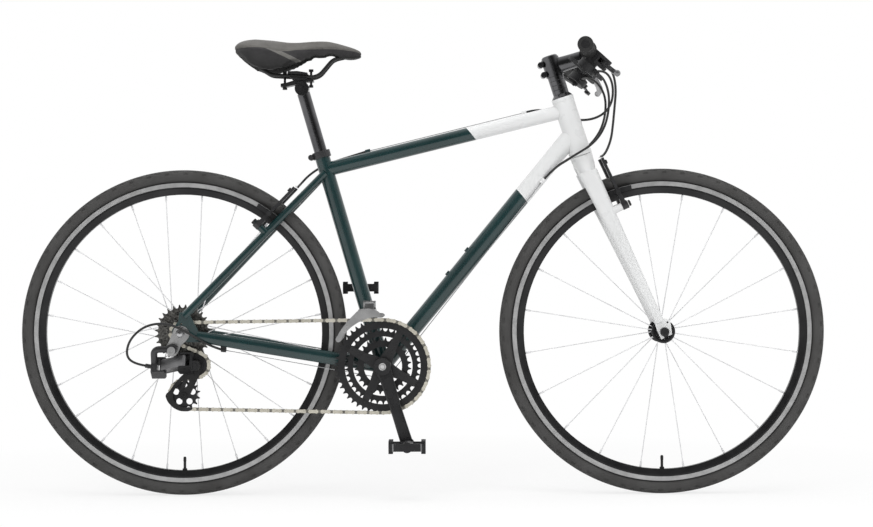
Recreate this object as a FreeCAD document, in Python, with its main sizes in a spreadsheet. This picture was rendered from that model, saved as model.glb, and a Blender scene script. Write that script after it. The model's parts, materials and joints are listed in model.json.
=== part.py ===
import FreeCAD, Part
import Sketcher
import math
import os
from FreeCAD import Matrix, Placement, Rotation, Vector

# A hybrid bicycle, built as an assembly of named pieces. All lengths are in millimetres.
# X points forward, Y to the rider's left and Z up. The origin lies on the ground, midway between
# the two axles, so the drive side is on negative Y. Each piece is made where it sits on the bike.

# The driving dimensions. They go into a spreadsheet, and the pieces are bound to its cells.
SIZES = {
    # Stance
    "wheelbase": 1008, "chain_stay_length": 426, "bottom_bracket_drop": 70,
    "seat_angle": 73.8, "head_angle": 72.3, "fork_rake": 48, "axle_to_crown": 404,
    # Wheels
    "tyre_outer_r": 343, "tyre_width": 32, "tyre_wall": 2.2,
    "rim_flange_r": 317, "rim_floor_r": 309.5, "rim_track_r": 303, "rim_inner_r": 291,
    "rim_width": 23, "rim_channel": 17.2, "rim_nose": 12, "rim_wall": 2.2,
    "spoke_d": 2, "nipple_d": 4, "nipple_length": 12, "valve_d": 6.5, "valve_reach": 29,
    "front_spokes": 20, "rear_spokes": 24,
    "front_flange_r": 19, "front_flange_y": 34, "front_hub_r": 13, "front_old": 100,
    "rear_flange_r": 26, "rear_flange_left_y": 34, "rear_flange_right_y": 16, "rear_hub_r": 17,
    "rear_old": 135, "flange_thickness": 3, "axle_r": 5,
    # Frame tubes
    "seat_tube_length": 470, "seat_tube_d": 31.8, "seat_tube_bore": 27.4,
    "top_tube_d": 30, "top_tube_at_seat": 430, "top_tube_at_head": 100, "tube_wall": 1.6,
    "down_tube_low_d": 33.5, "down_tube_high_d": 39.5, "down_tube_at_head": 50,
    "head_tube_length": 128, "head_tube_d": 46, "head_tube_bore": 34, "headset_d": 41,
    "headset_depth": 9, "crown_gap": 1, "shell_width": 68, "shell_d": 40, "shell_bore": 34,
    "seat_stay_d": 17, "seat_stay_top_y": 16, "chain_stay_height": 26, "chain_stay_width": 17,
    "chain_stay_y": 25, "dropout_thickness": 7,
    "boss_spacing": 64, "boss_from_shell": 236, "boss_bore_r": 2.1, "eyelet_bore_r": 2.1,
    # Fork
    "steerer_d": 28.6, "crown_drop": 36, "blade_y": 35.5, "blade_depth": 41, "blade_width": 22,
    "blade_tip_depth": 20, "blade_tip_width": 15, "fork_end_thickness": 6,
    # Cockpit
    "cover_height": 8, "spacer_d": 34, "spacer_stack": 40, "stem_height": 40, "stem_length": 79,
    "stem_rise": 17, "stem_clamp_d": 38, "bar_clamp_d": 31.8, "bar_d": 22.2, "bar_width": 580,
    "bar_sweep": 26, "bar_drop": 4, "bar_straight": 62, "grip_d": 31, "grip_length": 126,
    "lever_tilt": 42, "lever_reach": 84, "lever_length": 112,
    # Seat
    "post_d": 27.2, "post_insert": 150, "post_show": 128, "saddle_length": 268,
    "saddle_width": 152, "saddle_top": 958, "rail_d": 7, "rail_spacing": 44,
    # Drive
    "chain_pitch": 12.7, "roller_r": 3.85, "chain_plane": 58, "ring_pitch": 7.5, "cog_pitch": 4.8,
    "ring_teeth": 48, "middle_teeth": 38, "small_teeth": 28, "sprocket_width": 1.8,
    "crank_length": 170, "crank_angle": 17.6, "spider_r": 84, "pedal_length": 76,
    "pedal_width": 62, "pedal_height": 26, "guide_teeth": 13, "tension_teeth": 15,
    "cage_length": 66, "guide_x": 31.6, "guide_z": 66.2, "link_length": 50,
    "derailleur_slant": 31, "derailleur_travel": 39.2, "front_shift_travel": 15,
    # Brakes
    "pad_gap": 1.8, "brake_pivot_y": 40, "brake_arm_length": 106, "brake_pivot_r": 4,
    # Cables
    "housing_d": 5, "wire_d": 1.6,
}
COGS = (11, 13, 15, 17, 19, 21, 24, 28)
RUNNING_GAP = 0.06
LEFT, RIGHT = 1, -1


class Size(float):
    """A number from the sheet that keeps its formula, so that a property can be bound to it."""

    def __new__(cls, number, formula):
        made = super().__new__(cls, number)
        made.formula = formula
        return made

    def joined(self, number, sign, other):
        return Size(number, f"({self.formula} {sign} {formula_of(other)})")

    def __add__(self, other):
        return self.joined(float(self) + float(other), "+", other)

    def __sub__(self, other):
        return self.joined(float(self) - float(other), "-", other)

    def __mul__(self, other):
        return self.joined(float(self) * float(other), "*", other)

    def __truediv__(self, other):
        return self.joined(float(self) / float(other), "/", other)

    def __neg__(self):
        return Size(-float(self), f"(-1 * {self.formula})")


def formula_of(number):
    return number.formula if isinstance(number, Size) else repr(float(number))


class SheetReader:
    """Reads a size from the sheet by its alias."""

    def __getattr__(self, alias):
        return Size(float(sheet.get(alias)), f"Sizes.{alias}")


doc = FreeCAD.newDocument("HybridBike")
sheet = doc.addObject("Spreadsheet::Sheet", "Sizes")
for row, (alias, number) in enumerate(SIZES.items(), 1):
    sheet.set(f"A{row}", alias)
    sheet.set(f"B{row}", str(number))
    sheet.setAlias(f"B{row}", alias)
doc.recompute()
dim = SheetReader()


# Helpers for placing and building

X, Y, Z = Vector(1, 0, 0), Vector(0, 1, 0), Vector(0, 0, 1)


def unit(vector):
    return vector / vector.Length


def drive(thing, prop, number):
    """Sets a property, bound to the sheet when the number comes from there."""
    if isinstance(number, Size):
        thing.setExpression(prop, number.formula)
    else:
        setattr(thing, prop, number)


def along(base, axis):
    """A placement whose Z runs along an axis."""
    return Placement(base, Rotation(Z, axis))


def axes(origin, x_way, y_way):
    """A placement whose X runs one way and whose Y lies as near as can be to another."""
    x = unit(x_way)
    z = unit(x.cross(y_way))
    y = z.cross(x)
    return Placement(Matrix(x.x, y.x, z.x, origin.x, x.y, y.y, z.y, origin.y,
                            x.z, y.z, z.z, origin.z, 0, 0, 0, 1))


def cylinder(name, radius, height, base, axis):
    made = doc.addObject("Part::Cylinder", name)
    drive(made, "Radius", radius)
    drive(made, "Height", height)
    made.Placement = along(base, axis)
    return made


def cone(name, radius_1, radius_2, height, base, axis):
    made = doc.addObject("Part::Cone", name)
    drive(made, "Radius1", radius_1)
    drive(made, "Radius2", radius_2)
    drive(made, "Height", height)
    made.Placement = along(base, axis)
    return made


def fused(name, *pieces):
    made = doc.addObject("Part::MultiFuse", name)
    made.Shapes = list(pieces)
    made.Refine = True
    return made


def cut(name, whole, *tools):
    made = doc.addObject("Part::Cut", name)
    made.Base = whole
    made.Tool = tools[0] if len(tools) == 1 else fused(name + "_tools", *tools)
    return made


def grouped(name, *pieces):
    made = doc.addObject("Part::Compound", name)
    made.Links = list(pieces)
    return made


def shaped(name, shape):
    """Holds a shape that neither a sketch nor a primitive can make."""
    made = doc.addObject("Part::Feature", name)
    made.Shape = shape
    return made


def draw(sketch, corners):
    """Draws a closed outline. A corner with a third entry starts an arc through that point."""
    first = sketch.GeometryCount
    count = len(corners)
    starts, ends = [], []
    for index, corner in enumerate(corners):
        after = corners[(index + 1) % count]
        start, end = Vector(*corner[:2], 0), Vector(*after[:2], 0)
        if len(corner) == 2:
            sketch.addGeometry(Part.LineSegment(start, end))
            forward = True
        else:
            middle = Vector(*corner[2], 0)
            sketch.addGeometry(Part.Arc(start, middle, end))
            forward = (middle - start).cross(end - middle).z > 0
        starts.append(1 if forward else 2)
        ends.append(2 if forward else 1)
    for index in range(count):
        after = (index + 1) % count
        sketch.addConstraint(Sketcher.Constraint(
            "Coincident", first + index, ends[index], first + after, starts[after]))
    for index, corner in enumerate(corners):
        for kind, number in zip(("DistanceX", "DistanceY"), corner[:2]):
            made = sketch.addConstraint(Sketcher.Constraint(
                kind, -1, 1, first + index, starts[index], float(number)))
            if isinstance(number, Size):
                sketch.setExpression(f"Constraints[{made}]", number.formula)


def sketched_body(name, plane, outlines):
    body = doc.addObject("PartDesign::Body", name)
    sketch = body.newObject("Sketcher::SketchObject", name + "_profile")
    support = [item for item in body.Origin.OriginFeatures if item.Role == plane][0]
    sketch.AttachmentSupport = (support, [""])
    sketch.MapMode = "FlatFace"
    for outline in outlines:
        draw(sketch, outline)
    return body, sketch


def turned(name, base, axis, *outlines):
    """A turned piece. Each outline holds corners of distance along the axis and radius."""
    body, sketch = sketched_body(name, "XZ_Plane", outlines)
    turn = body.newObject("PartDesign::Revolution", name + "_turn")
    turn.Profile = sketch
    turn.ReferenceAxis = (sketch, ["H_Axis"])
    turn.Angle = 360
    body.Placement = Placement(base, Rotation(X, axis))
    return body


def padded(name, depth, placement, *outlines):
    """A flat piece padded evenly to both sides of its sketch."""
    body, sketch = sketched_body(name, "XY_Plane", outlines)
    pad = body.newObject("PartDesign::Pad", name + "_pad")
    pad.Profile = sketch
    pad.Midplane = True
    drive(pad, "Length", depth)
    body.Placement = placement
    return body


def plate(outline, placement, depth):
    """A plate shape: lines and arcs of an outline, extruded to both sides of its plane."""
    edges = []
    for index, corner in enumerate(outline):
        after = outline[(index + 1) % len(outline)]
        start, end = Vector(*corner[:2], -depth / 2), Vector(*after[:2], -depth / 2)
        if len(corner) == 2:
            edges.append(Part.LineSegment(start, end).toShape())
        else:
            edges.append(Part.Arc(start, Vector(*corner[2], -depth / 2), end).toShape())
    made = Part.Face(Part.Wire(edges)).extrude(Vector(0, 0, depth))
    made.Placement = placement
    return made


def slot_outline(length, radius):
    """A bar with round ends, its two end centres on the X axis."""
    return [(0, -radius), (length, -radius, (length + radius, 0)),
            (length, radius), (0, radius, (-radius, 0))]


def rounded_path(points, bend):
    """Straight runs joined by tangent arcs of a given radius, or as large as the runs allow."""
    edges = []
    last = points[0]
    bends = bend if isinstance(bend, list) else [bend] * (len(points) - 2)
    for index in range(1, len(points) - 1):
        corner = points[index]
        back, ahead = points[index - 1] - corner, points[index + 1] - corner
        half = unit(back).getAngle(unit(ahead)) / 2
        if half > math.radians(89.5):
            continue
        reach = min(bends[index - 1] / math.tan(half), 0.47 * back.Length, 0.47 * ahead.Length)
        start, end = corner + unit(back) * reach, corner + unit(ahead) * reach
        inward = unit(unit(back) + unit(ahead))
        middle = corner + inward * (reach / math.cos(half) - reach * math.tan(half))
        edges.append(Part.LineSegment(last, start).toShape())
        edges.append(Part.Arc(start, middle, end).toShape())
        last = end
    edges.append(Part.LineSegment(last, points[-1]).toShape())
    return Part.Wire(edges)


def rod(points, radius, bend):
    """A round rod or cable along a rounded path."""
    path = rounded_path(points, bend)
    start = unit(points[1] - points[0])
    ring = Part.Wire(Part.makeCircle(radius, points[0], start))
    return path.makePipeShell([ring], True, True)


def cord(name, points, radius):
    """A housing that hangs free, with each bend as wide as the runs beside it allow."""
    bends = []
    for before, corner, after in zip(points, points[1:], points[2:]):
        turn = unit(corner - before).getAngle(unit(after - corner))
        shorter = min((corner - before).Length, (after - corner).Length)
        bends.append(0.45 * shorter / math.tan(turn / 2))
    print(name, "bend radii", [round(bend) for bend in bends])
    return rod(points, radius, bends)


def oval(centre, u_way, v_way, half_u, half_v):
    """An elliptical wire with given half widths along two directions."""
    longer, shorter = (u_way * half_u, v_way * half_v)
    if half_v > half_u:
        longer, shorter = shorter, longer
    return Part.Wire(Part.Ellipse(centre + longer, centre + shorter, centre).toShape())


# Points and directions that the pieces share

rear = Vector(-dim.wheelbase / 2, 0, dim.tyre_outer_r)
front = Vector(dim.wheelbase / 2, 0, dim.tyre_outer_r)
shell = rear + Vector(math.sqrt(dim.chain_stay_length ** 2 - dim.bottom_bracket_drop ** 2),
                      0, -dim.bottom_bracket_drop)
seat_way = Vector(-math.cos(math.radians(dim.seat_angle)), 0,
                  math.sin(math.radians(dim.seat_angle)))
head_way = Vector(-math.cos(math.radians(dim.head_angle)), 0,
                  math.sin(math.radians(dim.head_angle)))
head_ahead = Vector(head_way.z, 0, -head_way.x)
crown = front - head_ahead * dim.fork_rake + head_way * dim.axle_to_crown
head_low = crown + head_way * dim.crown_gap
head_high = head_low + head_way * dim.head_tube_length
seat_top = shell + seat_way * dim.seat_tube_length
cluster = shell + seat_way * dim.top_tube_at_seat
top_tube_head = head_low + head_way * dim.top_tube_at_head
down_tube_head = head_low + head_way * dim.down_tube_at_head
nodes = {}


# The main triangle: five hollow tubes, each mitred to the one it is welded to

def tapered_tube(name, start, end, low_d, high_d, *mitres):
    """A hollow tube between two points, cut to the tubes it meets."""
    way = unit(end - start)
    length = (end - start).Length
    outside = cone(name + "_outside", low_d / 2 - 0.005, high_d / 2 + 0.005, length, start, way)
    inside = cone(name + "_inside", low_d / 2 - dim.tube_wall, high_d / 2 - dim.tube_wall + 0.01,
                  length, start, way)
    return cut(name, outside, inside, *mitres)


tall = dim.head_tube_length
head_tube = turned("head_tube", head_low, head_way, [
    (0, dim.headset_d / 2 + 0.05), (0, dim.head_tube_d / 2 + 1.5), (9, dim.head_tube_d / 2 + 1.5),
    (12, dim.head_tube_d / 2), (tall - 8, dim.head_tube_d / 2),
    (tall - 6, dim.head_tube_d / 2 + 0.8), (tall, dim.head_tube_d / 2 + 0.8),
    (tall, dim.headset_d / 2 + 0.05), (tall - dim.headset_depth, dim.headset_d / 2 + 0.05),
    (tall - dim.headset_depth, dim.head_tube_bore / 2), (dim.headset_depth, dim.head_tube_bore / 2),
    (dim.headset_depth, dim.headset_d / 2 + 0.05)])
head_solid = cylinder("head_solid", dim.head_tube_d / 2, dim.head_tube_length, head_low, head_way)
shell_start = shell - Y * (dim.shell_width / 2)
shell_solid = cylinder("shell_solid", dim.shell_d / 2, dim.shell_width, shell_start, Y)
shell_hole = cylinder("shell_hole", dim.shell_bore / 2, dim.shell_width, shell_start, Y)
shell_tube = cut("bottom_bracket_shell", shell_solid, shell_hole)
seat_solid = cylinder("seat_solid", dim.seat_tube_d / 2, dim.seat_tube_length, shell, seat_way)
seat_hole = cylinder("seat_hole", dim.seat_tube_bore / 2, dim.seat_tube_length, shell, seat_way)
seat_tube = cut("seat_tube", seat_solid, seat_hole, shell_solid)
shell_mitre = cylinder("shell_mitre", dim.shell_d / 2, dim.shell_width + 20, shell_start - Y * 10, Y)
top_way = unit(top_tube_head - cluster)
top_up = Vector(-top_way.z, 0, top_way.x)
top_length = (top_tube_head - cluster).Length
top_outside = cylinder("top_outside", dim.top_tube_d / 2, top_length, cluster, top_way)
top_inside = cylinder("top_inside", dim.top_tube_d / 2 - dim.tube_wall, top_length, cluster, top_way)
top_tube_bare = cut("top_tube_bare", top_outside, top_inside, head_solid, seat_solid)
down_tube_bare = tapered_tube("down_tube_bare", shell, down_tube_head, dim.down_tube_low_d,
                              dim.down_tube_high_d, head_solid, seat_solid, shell_solid)

# The bottle bosses stand on the upper side of the down tube, each with a threaded hole.
down_way = unit(down_tube_head - shell)
down_up = Vector(-down_way.z, 0, down_way.x)
down_length = (down_tube_head - shell).Length


def down_radius(distance):
    growth = (dim.down_tube_high_d - dim.down_tube_low_d) / 2
    return float(dim.down_tube_low_d / 2) + float(growth) * distance / down_length


bosses, boss_holes = [], []
for index in (0, 1):
    distance = float(dim.boss_from_shell + dim.boss_spacing * index)
    foot = shell + down_way * distance + down_up * (down_radius(distance) - 4)
    bosses.append(cylinder(f"bottle_boss_{index}", 5.5, 7, foot, down_up))
    boss_holes.append(cylinder(f"bottle_hole_{index}", dim.boss_bore_r, 12, foot - down_up * 3,
                               down_up))
down_inside = cone("down_inside", dim.down_tube_low_d / 2 - dim.tube_wall,
                   dim.down_tube_high_d / 2 - dim.tube_wall, down_length, shell, down_way)
boss_ring = cut("bottle_bosses", grouped("boss_pair", *bosses), down_inside)

# Cable stops: short drilled sleeves on pads that are brazed to the tubes.
stop_r, stop_length, stop_lift, pad_width = 4.2, 11, 5, 6
down_stop_at = 513
stop_points = {}


def cable_stop(name, centre, way, radial):
    """A sleeve for the end of a housing, and the pad below it that reaches into the tube's wall."""
    across = radial.cross(way)
    start = centre - way * (stop_length / 2)
    sleeve = cylinder(name + "_sleeve", stop_r, stop_length, start, way)
    pad = doc.addObject("Part::Box", name + "_pad")
    pad.Length, pad.Width, pad.Height = stop_length, pad_width, stop_lift + 1
    pad.Placement = axes(start - radial * (stop_lift + 1) - across * (pad_width / 2), way, across)
    return fused(name, sleeve, pad)


stop_sleeves = {"down": [], "top": []}
for side in (LEFT, RIGHT):
    radial = unit(down_up * -0.55 + Y * side * 0.83)
    centre = shell + down_way * down_stop_at + radial * (down_radius(down_stop_at) + stop_lift)
    stop_points[side] = centre
    stop_sleeves["down"].append(cable_stop(f"down_stop_{side + 1}", centre, down_way, radial))
top_radial = unit(top_up * 0.87 + Y * 0.5)
top_stops = []
for index, distance in enumerate((95, top_length - 88)):
    centre = cluster + top_way * distance + top_radial * (float(dim.top_tube_d) / 2 + stop_lift)
    top_stops.append(centre)
    stop_sleeves["top"].append(cable_stop(f"top_stop_{index}", centre, top_way, top_radial))
wire_bores = [cylinder(f"stop_bore_{side + 1}", 1.2, 30, stop_points[side] - down_way * 15,
                       down_way) for side in (LEFT, RIGHT)]
down_tube = cut("down_tube", fused("down_tube_whole", down_tube_bare, boss_ring,
                                   *[cut(f"down_sleeve_{n}", sleeve, down_inside)
                                     for n, sleeve in enumerate(stop_sleeves["down"])]),
                *boss_holes, *wire_bores)
top_bores = [cylinder(f"top_bore_{n}", 1.2, 30, centre - top_way * 15, top_way)
             for n, centre in enumerate(top_stops)]
top_tube = cut("top_tube", fused("top_tube_whole", top_tube_bare,
                                 *[cut(f"top_sleeve_{n}", sleeve, top_inside)
                                   for n, sleeve in enumerate(stop_sleeves["top"])]), *top_bores)
nodes["main_triangle"] = grouped("main_triangle", head_tube, top_tube, down_tube, seat_tube,
                                 shell_tube)


# The rear triangle: stays, bridges, brake posts and the two dropouts

stay_y = float(dim.rear_old + dim.dropout_thickness) / 2
stay_low = Vector(7, 0, 35)
stay_foot = rear + stay_low
stay_head = cluster + seat_way * -8 + X * -4
stay_run = stay_head - stay_foot
stay_way = unit(stay_run)
stay_back = Vector(-stay_way.z, 0, stay_way.x)
rear_brake_along = 243
rear_brake_plane = 25


def stay_point(side, distance):
    """A point on a seat stay's centre line, measured from its foot in side view."""
    spread = stay_y + (float(dim.seat_stay_top_y) - stay_y) * distance / stay_run.Length
    return stay_foot + stay_way * distance + Y * side * spread


def brake_post(name, foot, way, base_length, pin_length):
    """A brake post: a stout base, the pin that the arm swings on, and the bolt head that keeps it."""
    base = cylinder(name + "_base", 8, base_length, foot, way)
    pin = cylinder(name + "_pin", dim.brake_pivot_r, base_length + pin_length + 1, foot, way)
    head = cylinder(name + "_head", 6.5, 3, foot + way * (base_length + pin_length), way)
    return fused(name, base, pin, head)


def chain_stay(side):
    """An oval stay from the shell to its dropout."""
    start = shell + Vector(-10, side * float(dim.chain_stay_y), 0)
    end = rear + Vector(33, side * stay_y, -6)
    way = unit(end - start)
    across = unit(Y - way * Y.dot(way))
    tall = unit(way.cross(across))
    rings = []
    for share, height, width in ((0, 1.1, 0.95), (0.35, 1.05, 1), (0.75, 1, 1), (1, 0.85, 0.8)):
        rings.append(oval(start + (end - start) * share, across, tall,
                          float(dim.chain_stay_width) / 2 * width,
                          float(dim.chain_stay_height) / 2 * height))
    return shaped(f"chain_stay_{side + 1}", Part.makeLoft(rings, True))


def dropout(side):
    """A dropout plate with an open axle slot and an eyelet; the right one carries the hanger."""
    hanger = [(-12, -16), (-26, -26), (-26, -36, (-16, -44)), (-6, -38), (-6, -15)]
    low = hanger if side == RIGHT else [(-13, -14), (-6, -15)]
    outline = [(37, 6), (17, 44), (-2, 44), (-4, 26), (-17, 8), (-17, -6)] + low
    outline += [(-5.2, -5), (-5.2, 0, (0, 5.2)), (5.2, 0), (5.2, -15), (12, -18), (36, -18)]
    flat = Placement(rear + Y * side * stay_y, Rotation(X, 90))
    flat_plate = shaped(f"dropout_plate_{side + 1}", plate(outline, flat, dim.dropout_thickness))
    holes = [cylinder(f"eyelet_{side + 1}", dim.eyelet_bore_r, 20,
                      rear + Vector(2, side * (stay_y - 10), 20), Y * side)]
    if side == RIGHT:
        holes.append(cylinder("hanger_hole", 5.05, 20, rear + Vector(-16, -stay_y - 10, -32), Y))
    return flat_plate, holes


rear_pieces = []
stays = {}
chain_bars = []
for side in (LEFT, RIGHT):
    tag = "left" if side == LEFT else "right"
    low, high = stay_point(side, 0), stay_point(side, stay_run.Length)
    stay = cone(f"seat_stay_{tag}_bar", dim.seat_stay_d / 2, dim.seat_stay_d / 2 - 0.8,
                (high - low).Length, low, unit(high - low))
    post_foot = stay_point(side, rear_brake_along)
    post_foot = Vector(post_foot.x, side * float(dim.brake_pivot_y), post_foot.z)
    post = brake_post(f"rear_post_{tag}", post_foot + stay_back * 2, stay_back, 15.5, 12)
    stays[side] = fused(f"seat_stay_{tag}_whole", stay, post)
    chain_bar = chain_stay(side)
    chain_bars.append(chain_bar)
    flat_plate, holes = dropout(side)
    rear_pieces.append(cut(f"seat_stay_{tag}", stays[side], seat_solid))
    rear_pieces.append(cut(f"chain_stay_{tag}", chain_bar, shell_mitre))
    rear_pieces.append(cut(f"dropout_{tag}", flat_plate, stay, chain_bar, *holes))
bridge_at = 335
bridge_start = stay_point(RIGHT, bridge_at)
bridge = cylinder("brake_bridge_bar", 6, 2 * -bridge_start.y, bridge_start, Y)
rear_pieces.append(cut("brake_bridge", bridge, stays[LEFT], stays[RIGHT]))
low_bridge = cylinder("low_bridge_bar", 6, 54, shell + Vector(-40, -27, -3), Y)
rear_pieces.append(cut("low_bridge", low_bridge, *chain_bars))
nodes["rear_triangle"] = grouped("rear_triangle", *rear_pieces)


# Wheels: tyre with its inner tube, rim, laced spokes and a hub on two bearings

def tyre(name, centre):
    """A hollow tyre seated between the rim's hooks, with the tube and its valve inside."""
    wide, wall = dim.tyre_width / 2, dim.tyre_wall
    top = dim.tyre_outer_r
    waist = dim.tyre_outer_r - wide + 0.5
    bead = dim.rim_channel / 2 - 0.2
    hook = dim.rim_flange_r + 0.8
    foot = dim.rim_floor_r + 0.7
    inner = bead - wall
    casing = turned(name + "_casing", centre, Y, [
        (-bead, foot), (-bead, hook, (-wide * 0.86, hook + 3.3)),
        (-wide, waist, (-wide * 0.715, waist + wide * 0.715)),
        (0, top, (wide * 0.715, waist + wide * 0.715)), (wide, waist, (wide * 0.86, hook + 3.3)),
        (bead, hook), (bead, foot), (inner, foot),
        (inner, hook + 0.8, (wide * 0.71, hook + 4.4)),
        (wide - wall, waist, (wide * 0.605, waist + wide * 0.605)),
        (0, top - wall, (-wide * 0.605, waist + wide * 0.605)),
        (wall - wide, waist, (-wide * 0.71, hook + 4.4)),
        (-inner, hook + 0.8), (-inner, foot)])
    rings = []
    for tag, radius in (("skin", dim.tyre_width / 2 - 6.2), ("air", dim.tyre_width / 2 - 7.2)):
        ring = doc.addObject("Part::Torus", f"{name}_tube_{tag}")
        drive(ring, "Radius1", dim.tyre_outer_r - dim.tyre_width / 2 + 0.5)
        drive(ring, "Radius2", radius)
        ring.Placement = along(centre, Y)
        rings.append(ring)
    reach = dim.rim_floor_r - dim.rim_inner_r + dim.valve_reach + 14
    valve = cylinder(name + "_valve", dim.valve_d / 2, reach,
                     centre - Z * (dim.rim_inner_r - dim.valve_reach), -Z)
    tube = cut(name + "_tube", fused(name + "_tube_valve", rings[0], valve), rings[1])
    return grouped(name, casing, tube)


def rim(name, centre):
    """A hollow double-wall rim with machined braking faces and a valve hole."""
    wide, wall, groove = dim.rim_width / 2, dim.rim_wall, dim.rim_channel / 2
    nose = dim.rim_nose / 2
    ring = turned(name + "_ring", centre, Y, [
        (-nose, dim.rim_inner_r), (-wide, dim.rim_track_r), (-wide, dim.rim_flange_r),
        (-groove, dim.rim_flange_r), (-groove, dim.rim_floor_r), (groove, dim.rim_floor_r),
        (groove, dim.rim_flange_r), (wide, dim.rim_flange_r), (wide, dim.rim_track_r),
        (nose, dim.rim_inner_r)],
        [(wall * 0.6 - nose, dim.rim_inner_r + wall), (wall - wide, dim.rim_track_r + 0.6),
         (wall - wide, dim.rim_floor_r - wall), (wide - wall, dim.rim_floor_r - wall),
         (wide - wall, dim.rim_track_r + 0.6), (nose - wall * 0.6, dim.rim_inner_r + wall)])
    hole = cylinder(name + "_hole", dim.valve_d / 2 + 0.25, 60,
                    centre - Z * (dim.rim_inner_r - 10), -Z)
    return cut(name, ring, hole)


def spoke(inner, outer):
    """One spoke with its nipple at the rim end."""
    way = unit(outer - inner)
    side = unit(way.cross(Y if abs(way.y) < 0.9 else X))
    length = (outer - inner).Length
    thin, thick = float(dim.spoke_d) / 2, float(dim.nipple_d) / 2
    shoulder = length - float(dim.nipple_length)
    corners = [(0, 0), (thin, 0), (thin, shoulder), (thick, shoulder + 1), (thick, length),
               (0, length), (0, 0)]
    face = Part.Face(Part.makePolygon([inner + side * r + way * d for r, d in corners]))
    return face.revolve(inner, way, 360)


def spin(centre, radius, degrees, y):
    """A point on a circle round an axle, its angle measured from straight down."""
    turn = math.radians(degrees)
    return centre + Vector(radius * math.sin(turn), y, -radius * math.cos(turn))


def spokes(name, centre, count, left_y, right_y, flange_r, wrap):
    """Laced spokes. With no wrap they run straight out, otherwise they lean both ways and cross."""
    made = []
    hole_r = float(flange_r) - 3
    rim_r = float(dim.rim_inner_r) - 0.5
    step = 360 / count
    face = float(dim.flange_thickness + dim.spoke_d) / 2
    for index in range(int(count)):
        side = LEFT if index % 2 else RIGHT
        flange_y = float(left_y if side == LEFT else right_y)
        slope = flange_y / (rim_r - hole_r)
        outside = wrap == 0 or (index // 2) % 2 == 0
        turn = step * (index + 0.5)
        lean = wrap if outside else -wrap
        y = flange_y + (face + 9 * slope + 0.1 if outside else -face - 0.2)
        made.append(spoke(spin(centre, hole_r, turn + lean, side * y),
                          spin(centre, rim_r, turn, side * 1.6)))
    return shaped(name, Part.makeCompound(made))


def bearing(name, centre, y, side, outer_r):
    """A sealed bearing that runs on the axle."""
    inner_r = dim.axle_r + RUNNING_GAP
    return turned(name, centre + Y * y, Y * side, [
        (0, inner_r), (0, outer_r - 0.02), (7, outer_r - 0.02), (7, inner_r)])


front_wall = dim.flange_thickness / 2
flange = dim.front_flange_y
front_shell = turned("front_hub_shell", front, Y, [
    (-flange - 6, 11), (-flange - 6, 13.5), (-flange - 2.5, 13.5),
    (-flange - front_wall, dim.front_flange_r), (-flange + front_wall, dim.front_flange_r),
    (-flange + 4, dim.front_hub_r), (flange - 4, dim.front_hub_r),
    (flange - front_wall, dim.front_flange_r), (flange + front_wall, dim.front_flange_r),
    (flange + 2.5, 13.5), (flange + 6, 13.5), (flange + 6, 11), (flange - 1, 11), (flange - 1, 8),
    (-flange + 1, 8), (-flange + 1, 11)])
nodes["front_hub"] = grouped("front_hub", front_shell,
                             bearing("front_bearing_left", front, flange - 1, 1, 11),
                             bearing("front_bearing_right", front, -flange + 1, -1, 11))
nodes["front_tyre"] = tyre("front_tyre", front)
nodes["front_rim"] = rim("front_rim", front)
nodes["front_spokes"] = spokes("front_spokes", front, dim.front_spokes, flange, flange,
                               dim.front_flange_r, 0)

left_y, right_y = dim.rear_flange_left_y, dim.rear_flange_right_y
rear_shell = turned("rear_hub_shell", rear, Y, [
    (-right_y - 4, 11), (-right_y - 4, 16), (-right_y - front_wall, 17),
    (-right_y - front_wall, dim.rear_flange_r), (-right_y + front_wall, dim.rear_flange_r),
    (-right_y + front_wall, dim.rear_flange_r - 7), (-right_y + 6, dim.rear_hub_r),
    (left_y - 6, dim.rear_hub_r - 2), (left_y - front_wall, dim.rear_flange_r - 7),
    (left_y - front_wall, dim.rear_flange_r), (left_y + front_wall, dim.rear_flange_r),
    (left_y + front_wall, 17), (left_y + 8, 14), (left_y + 8, 11), (left_y + 1, 11), (left_y + 1, 8.5),
    (-right_y + 3, 8.5), (-right_y + 3, 11)])
nodes["rear_hub"] = grouped("rear_hub", rear_shell,
                            bearing("rear_bearing_left", rear, left_y + 1, 1, 11),
                            bearing("rear_bearing_right", rear, -right_y + 3, -1, 11))
nodes["rear_tyre"] = tyre("rear_tyre", rear)
nodes["rear_rim"] = rim("rear_rim", rear)
nodes["rear_spokes"] = spokes("rear_spokes", rear, dim.rear_spokes, left_y, right_y,
                              dim.rear_flange_r, 68)


# Axles with their lock nuts and clamp nuts, and the two quick-release levers

def axle(name, centre, half_gap, thickness, left_nut, right_nut):
    """An axle turned in one piece with its nuts, from the drive side to the left."""
    gap, outer = half_gap, half_gap + thickness
    return turned(name, centre, Y, [
        (-outer - 13, 0), (-outer - 12, 6), (-outer - 3, 9.5), (-outer - 0.1, 9.5),
        (-outer - 0.1, dim.axle_r - 0.1), (-gap + 0.05, dim.axle_r - 0.1), (-gap + 0.05, 9),
        (-gap + right_nut, 9), (-gap + right_nut, dim.axle_r), (gap - left_nut, dim.axle_r),
        (gap - left_nut, 9), (gap - 0.05, 9), (gap - 0.05, dim.axle_r - 0.1),
        (outer + 0.1, dim.axle_r - 0.1), (outer + 0.1, 9), (outer + 6, 9), (outer + 6, 0)])


def release_lever(name, centre, y, way):
    """A quick-release lever: a cam barrel across the axle and a curved handle."""
    hinge = unit(way.cross(Y))
    seat = centre + Y * y
    flat = axes(seat, way, Y)
    handle = plate([(0, -4), (18, -4), (46, 3), (52, 3, (55, 6)), (52, 9), (44, 9), (16, 3.5),
                    (0, 3.5)], flat, 11)
    barrel = Part.makeCylinder(7.2, 15, seat - hinge * 7.5, hinge)
    return shaped(name, barrel.fuse(handle).removeSplitter())


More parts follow.
